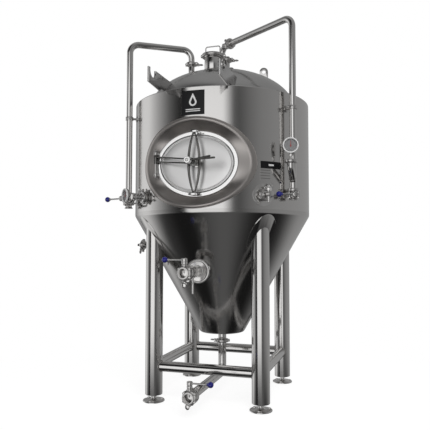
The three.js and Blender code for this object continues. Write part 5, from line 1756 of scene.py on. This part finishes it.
@dataclass
class SideFittings:
    """Sample valve, thermowell and carbonation port."""

    layout: Layout
    reach: float = 572.0
    port_up: float = 96.7
    sample_bearing: float = 41.0
    well_bearing: float = -36.0

    def build(self) -> None:
        """Makes the three small fittings."""
        height = self.layout.cone_top + self.port_up
        axis = Vector((0, 0, height))
        sample, well = bearing(self.sample_bearing), bearing(self.well_bearing)
        self._stub("sample", axis, sample, self.reach, Vector((1, 0.3, 0.5)))
        self._sample(sample, height)
        self._stub("thermowell", axis, well, self.reach, Vector((-0.4, 0, 1)))
        self._thermowell(well, height)
        low, high = corners_of("carbonation_stone")
        face = -low.x - 40
        level = (low.z + high.z) / 2
        left = Vector((-1, 0, 0))
        self._stub("carbonation", Vector((0, 0, level)), left, face, Vector((0, -0.3, -1)))
        place = facing(Vector((-face, 0, level)), left)
        rim = FERRULE_15.flange
        outline = [(0, 2), (rim, 2), (rim, 5), (14, 8.4), (8, 9), (8, 40), (0, 40)]
        stone = Form().turned(outline, 1.0, 3, place, 48)
        stone.disc(11, 18, 30, place, 1.4, 6)
        stone.disc(12, -260, -100, place, 2.0, 32)
        stone.disc(7, -102, 2, place, 0.2, 32)
        stone.piece("carbonation_inlet", BRIGHT, replaces=["carbonation_stone"], slot="cast")

    def _stub(self, name: str, origin: Vector, way: Vector, reach: float, side: Vector) -> None:
        """A ferruled port stub with its clamp.

        Args:
            name: Port name.
            origin: Point on the tank's axis.
            way: Outward direction.
            reach: Distance of the face from the axis.
            side: Direction of the wing nut.
        """
        place = facing(origin, way)
        stub = Form().disc(FERRULE_15.tube, reach - 110, reach - 4, place, 0.2, 56)
        FERRULE_15.flare(stub, origin + way * reach, -way)
        stub.piece(f"{name}_stub", TUBE, slot="steel")
        FERRULE_15.clamp(f"{name}_band", origin + way * (reach + 1), way, side)

    def _sample(self, way: Vector, height: float) -> None:
        """The sample valve with its spout and lever.

        Args:
            way: Outward direction of the port.
            height: Height of its axis.
        """
        out = self.reach + JOINT_GAP
        place = facing(Vector((0, 0, height)) + way * out, way, UP)
        rim = FERRULE_15.flange
        outline = [
            (0, 0), (rim, 0), (rim, 3), (12, 7), (11, 10), (11, 30), (14, 32), (14, 50), (11, 52),
            (11, 58),
            (0, 58),
        ]
        body = Form().turned(outline, 1.2, 3, place, 56)
        spout = Vector((0, 0, height)) + way * (out + 40)
        body.tube([spout + UP * 30, spout - UP * 42], 8, sides=32)
        body.disc(11, 20, 34, Matrix.Translation(spout), 1.6, 6)
        body.disc(10, -44, -36, Matrix.Translation(spout), 1.2, 32)
        body.piece("sample_tap_shell", BRIGHT, replaces=["sample_valve_body"], slot="polished")
        front = facing(Vector((0, 0, height)) + way * (out + 58.4), way, UP)
        knob = Form().disc(14.6, 0, 13.5, front, 2.4, 40)
        knob.tube([front @ Vector((0, 0, 7)), front @ Vector((38, 0, 7))], 4, sides=24)
        knob.ball((7, 7, 7), front @ Matrix.Translation((38, 0, 7)))
        knob.piece("sample_tap_knob", BRIGHT, "sample_tap", ["sample_valve_handle"], "polished")

    def _thermowell(self, way: Vector, height: float) -> None:
        """The thermowell with its cable gland.

        Args:
            way: Outward direction of the port.
            height: Height of its axis.
        """
        place = facing(Vector((0, 0, height)) + way * self.reach, way)
        rim = FERRULE_15.flange
        outline = [(0, 2), (rim, 2), (rim, 5), (15, 8.4), (14, 12), (14, 50), (0, 50)]
        well = Form().turned(outline, 1.2, 3, place, 48)
        well.disc(19.5, 50, 62, place, 1.6, 6)
        well.disc(16, 62, 73, place, 2.5, 40)
        well.disc(6, -258, 3, place, 2.0, 24)
        well.piece("thermowell_body", BRIGHT, replaces=["thermowell"], slot="polished")


# ---------- studio ----------
@dataclass
class Studio:
    """Pale floor, soft surroundings, key light and camera."""

    ring: tuple[tuple[float, float], ...] = (
        (-180, 0.34), (-150, 0.22), (-132, 0.34), (-118, 0.70), (-104, 0.86), (-92, 0.86), (-82, 0.64),
        (-72, 0.44),
        (-63, 0.28), (-54, 0.14), (-46, 0.07), (-38, 0.02), (-31, 0.02), (-26, 1.05), (18, 1.05), (24, 0.62),
        (31, 0.13), (38, 0.09), (51, 0.17), (66, 0.24), (89, 0.29), (117, 0.32), (150, 0.34), (180, 0.34),
    )
    ground: tuple[tuple[float, float], ...] = (
        (-180, 0.1), (-128, 0.3), (-112, 0.26), (-98, 0.12), (-84, 0.045), (-60, 0.012), (-36, 0.012),
        (-20, 0.06),
        (-5, 0.1), (12, 0.12), (28, 0.12), (42, 0.1), (56, 0.06), (68, 0.03), (84, 0.012), (106, 0.012),
        (122, 0.04), (136, 0.1), (152, 0.16), (180, 0.12),
    )
    canopy: tuple[tuple[float, float], ...] = (
        (-180, 0.3), (-120, 0.28), (-90, 0.22), (-66, 0.12), (-48, 0.04), (-34, 0.015), (-10, 0.015),
        (6, 0.14),
        (22, 0.24), (60, 0.28), (120, 0.3), (180, 0.3),
    )
    above: float = 0.33
    ground_fall: tuple[float, float] = (-0.3, -0.6)
    canopy_rise: tuple[float, float] = (0.29, 0.42)
    zenith_rise: tuple[float, float] = (0.78, 0.97)
    floor_r: float = 6.0
    floor_fade: tuple[float, float] = (0.4, 1.9)
    floor_level: float = 0.4
    floor_glow: float = 0.86
    key_energy: float = 60.0
    key_size: float = 2.4
    key_place: tuple[float, float, float] = (1.6, -3.4, 3.2)
    camera_place: tuple[float, float, float] = (0.9880, -3.2299, 0.9233)
    camera_tilt: float = 93.113
    camera_turn: float = 17.008
    lens: float = 44.147
    shift: float = -0.01685

    def build(self) -> None:
        """Makes the floor, world, light and camera."""
        self._floor()
        self._world()
        self._light()
        self._camera()

    def _floor(self) -> None:
        """A pale disc that fades into the white backdrop."""
        bm = bmesh.new()
        bmesh.ops.create_circle(bm, cap_ends=True, segments=128, radius=self.floor_r)
        data = bpy.data.meshes.new("studio_floor")
        bm.to_mesh(data)
        bm.free()
        material = bpy.data.materials.new("pale_floor")
        material.use_nodes = True
        graph = Graph(material.node_tree)
        coords = graph.node("ShaderNodeTexCoord", {}, {})
        length = graph.node("ShaderNodeVectorMath", {"operation": "LENGTH"}, {0: coords.outputs["Object"]})
        distance = Signal(graph, length.outputs["Value"])
        fade = self._rise(graph, distance, *self.floor_fade)
        near = graph.node("ShaderNodeBsdfDiffuse", {}, {"Color": (*[self.floor_level] * 3, 1.0)})
        glow = graph.node("ShaderNodeEmission", {}, {"Color": (1, 1, 1, 1), "Strength": self.floor_glow})
        pale = graph.node("ShaderNodeAddShader", {}, {0: near.outputs[0], 1: glow.outputs[0]})
        far = graph.node("ShaderNodeEmission", {}, {"Color": (1, 1, 1, 1), "Strength": 1.0})
        mix = graph.node("ShaderNodeMixShader", {}, {0: fade, 1: pale.outputs[0], 2: far.outputs[0]})
        graph.node("ShaderNodeOutputMaterial", {}, {"Surface": mix.outputs[0]})
        data.materials.append(material)
        floor = bpy.data.objects.new("studio_floor", data)
        floor.visible_glossy = False
        floor.visible_diffuse = False
        bpy.context.scene.collection.objects.link(floor)

    @staticmethod
    def _band(graph: Graph, levels: Sequence[tuple[float, float]], place: Signal) -> bpy.types.NodeSocket:
        """A ring of grey levels round the horizon.

        Args:
            graph: The world's graph.
            levels: Pairs of bearing in degrees and brightness.
            place: 0 to 1 round the horizon.

        Returns:
            The colour.
        """
        stops = [((degrees + 180) / 360, level) for degrees, level in levels]
        return graph.node("ShaderNodeValToRGB", {"stops": stops}, {"Fac": place}).outputs[0]

    @staticmethod
    def _rise(graph: Graph, value: Signal, start: float, end: float) -> bpy.types.NodeSocket:
        """A smooth step from 0 at one value to 1 at another."""
        return graph.node(
            "ShaderNodeMapRange", {"interpolation_type": "SMOOTHSTEP"},
            {"Value": value, "From Min": start, "From Max": end, "To Min": 0.0, "To Max": 1.0},
        ).outputs[0]

    @staticmethod
    def _mix(graph: Graph, factor: bpy.types.NodeSocket, first: Any, second: Any) -> bpy.types.NodeSocket:
        """A colour between two colours."""
        inputs = {"Factor": factor, 6: first, 7: second}
        return graph.node("ShaderNodeMix", {"data_type": "RGBA"}, inputs).outputs[2]

    def _world(self) -> None:
        """Soft surroundings: a bright front panel among greys, and white behind the object."""
        world = bpy.data.worlds.new("studio")
        bpy.context.scene.world = world
        world.use_nodes = True
        graph = Graph(world.node_tree)
        coords = graph.node("ShaderNodeTexCoord", {}, {})
        parts = graph.node("ShaderNodeSeparateXYZ", {}, {0: coords.outputs["Generated"]})
        x, y, z = (Signal(graph, socket) for socket in parts.outputs)
        angle = Signal(
            graph, graph.node("ShaderNodeMath", {"operation": "ARCTAN2"}, {0: x, 1: 0.0 - y}).outputs[0]
        )
        place = angle * (1 / TAU) + 0.5
        level, low, high = (
            self._band(graph, levels, place) for levels in (self.ring, self.ground, self.canopy)
        )
        top = (self.above, self.above, self.above, 1.0)
        raised = self._mix(graph, self._rise(graph, z, *self.canopy_rise), level, high)
        above = self._mix(graph, self._rise(graph, z, *self.zenith_rise), raised, top)
        mixed = self._mix(graph, self._rise(graph, z, *self.ground_fall), above, low)
        around = graph.node("ShaderNodeBackground", {}, {"Color": mixed, "Strength": 1.0})
        white = graph.node("ShaderNodeBackground", {}, {"Color": (1, 1, 1, 1), "Strength": 1.0})
        path = graph.node("ShaderNodeLightPath", {}, {})
        seen = graph.node(
            "ShaderNodeMixShader", {},
            {0: path.outputs["Is Camera Ray"], 1: around.outputs[0], 2: white.outputs[0]}
        )
        graph.node("ShaderNodeOutputWorld", {}, {"Surface": seen.outputs[0]})

    def _light(self) -> None:
        """A large soft key that only fills the painted and plastic pieces."""
        data = bpy.data.lights.new("soft_key", "AREA")
        data.energy = self.key_energy
        data.size = self.key_size
        key = bpy.data.objects.new("soft_key", data)
        place = Vector(self.key_place)
        key.matrix_world = facing(place, place - UP, RIGHT)
        key.visible_glossy = False
        bpy.context.scene.collection.objects.link(key)

    def _camera(self) -> None:
        """The camera at the reference viewing angle."""
        data = bpy.data.cameras.new("camera")
        data.lens = self.lens
        data.sensor_width = 36.0
        data.shift_x = self.shift
        data.clip_end = 100.0
        camera = bpy.data.objects.new("camera", data)
        camera.location = self.camera_place
        camera.rotation_euler = (math.radians(self.camera_tilt), 0.0, math.radians(self.camera_turn))
        bpy.context.scene.collection.objects.link(camera)
        bpy.context.scene.camera = camera
        bpy.context.scene.view_settings.view_transform = "Standard"


def dress_inner_nodes(nodes: dict[str, bpy.types.Object]) -> None:
    """Dresses the CAD nodes that stay: the vessel inside the sheet, its jackets, foam and spray ball.

    Args:
        nodes: The frame's objects by node name.
    """
    for node, finish in (
        ("vessel_body", MATT_VESSEL), ("side_cooling_jacket", MATT_VESSEL),
        ("cone_cooling_jacket", MATT_VESSEL),
        ("side_insulation", FOAM), ("cone_insulation", FOAM), ("spray_ball", BRIGHT),
        ("manway_gasket", SILICONE),
    ):
        dress_cad_node(nodes[node], finish)


def main() -> None:
    """Builds the fermenter and its studio in order."""
    logging.basicConfig(level=logging.INFO, format="%(name)s: %(message)s")
    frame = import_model()
    Studio().build()
    layout = Layout.measure()
    head = Head(layout)
    dress_inner_nodes(frame["nodes"])
    for assembly in (
        Cladding(layout), head, Plates(layout), Stand(layout), Manway(layout), PipeArms(layout, head),
        Outlets(layout), SideFittings(layout),
    ):
        assembly.build()
        LOG.info("%s done", type(assembly).__name__)


if __name__ == "__main__":
    main()
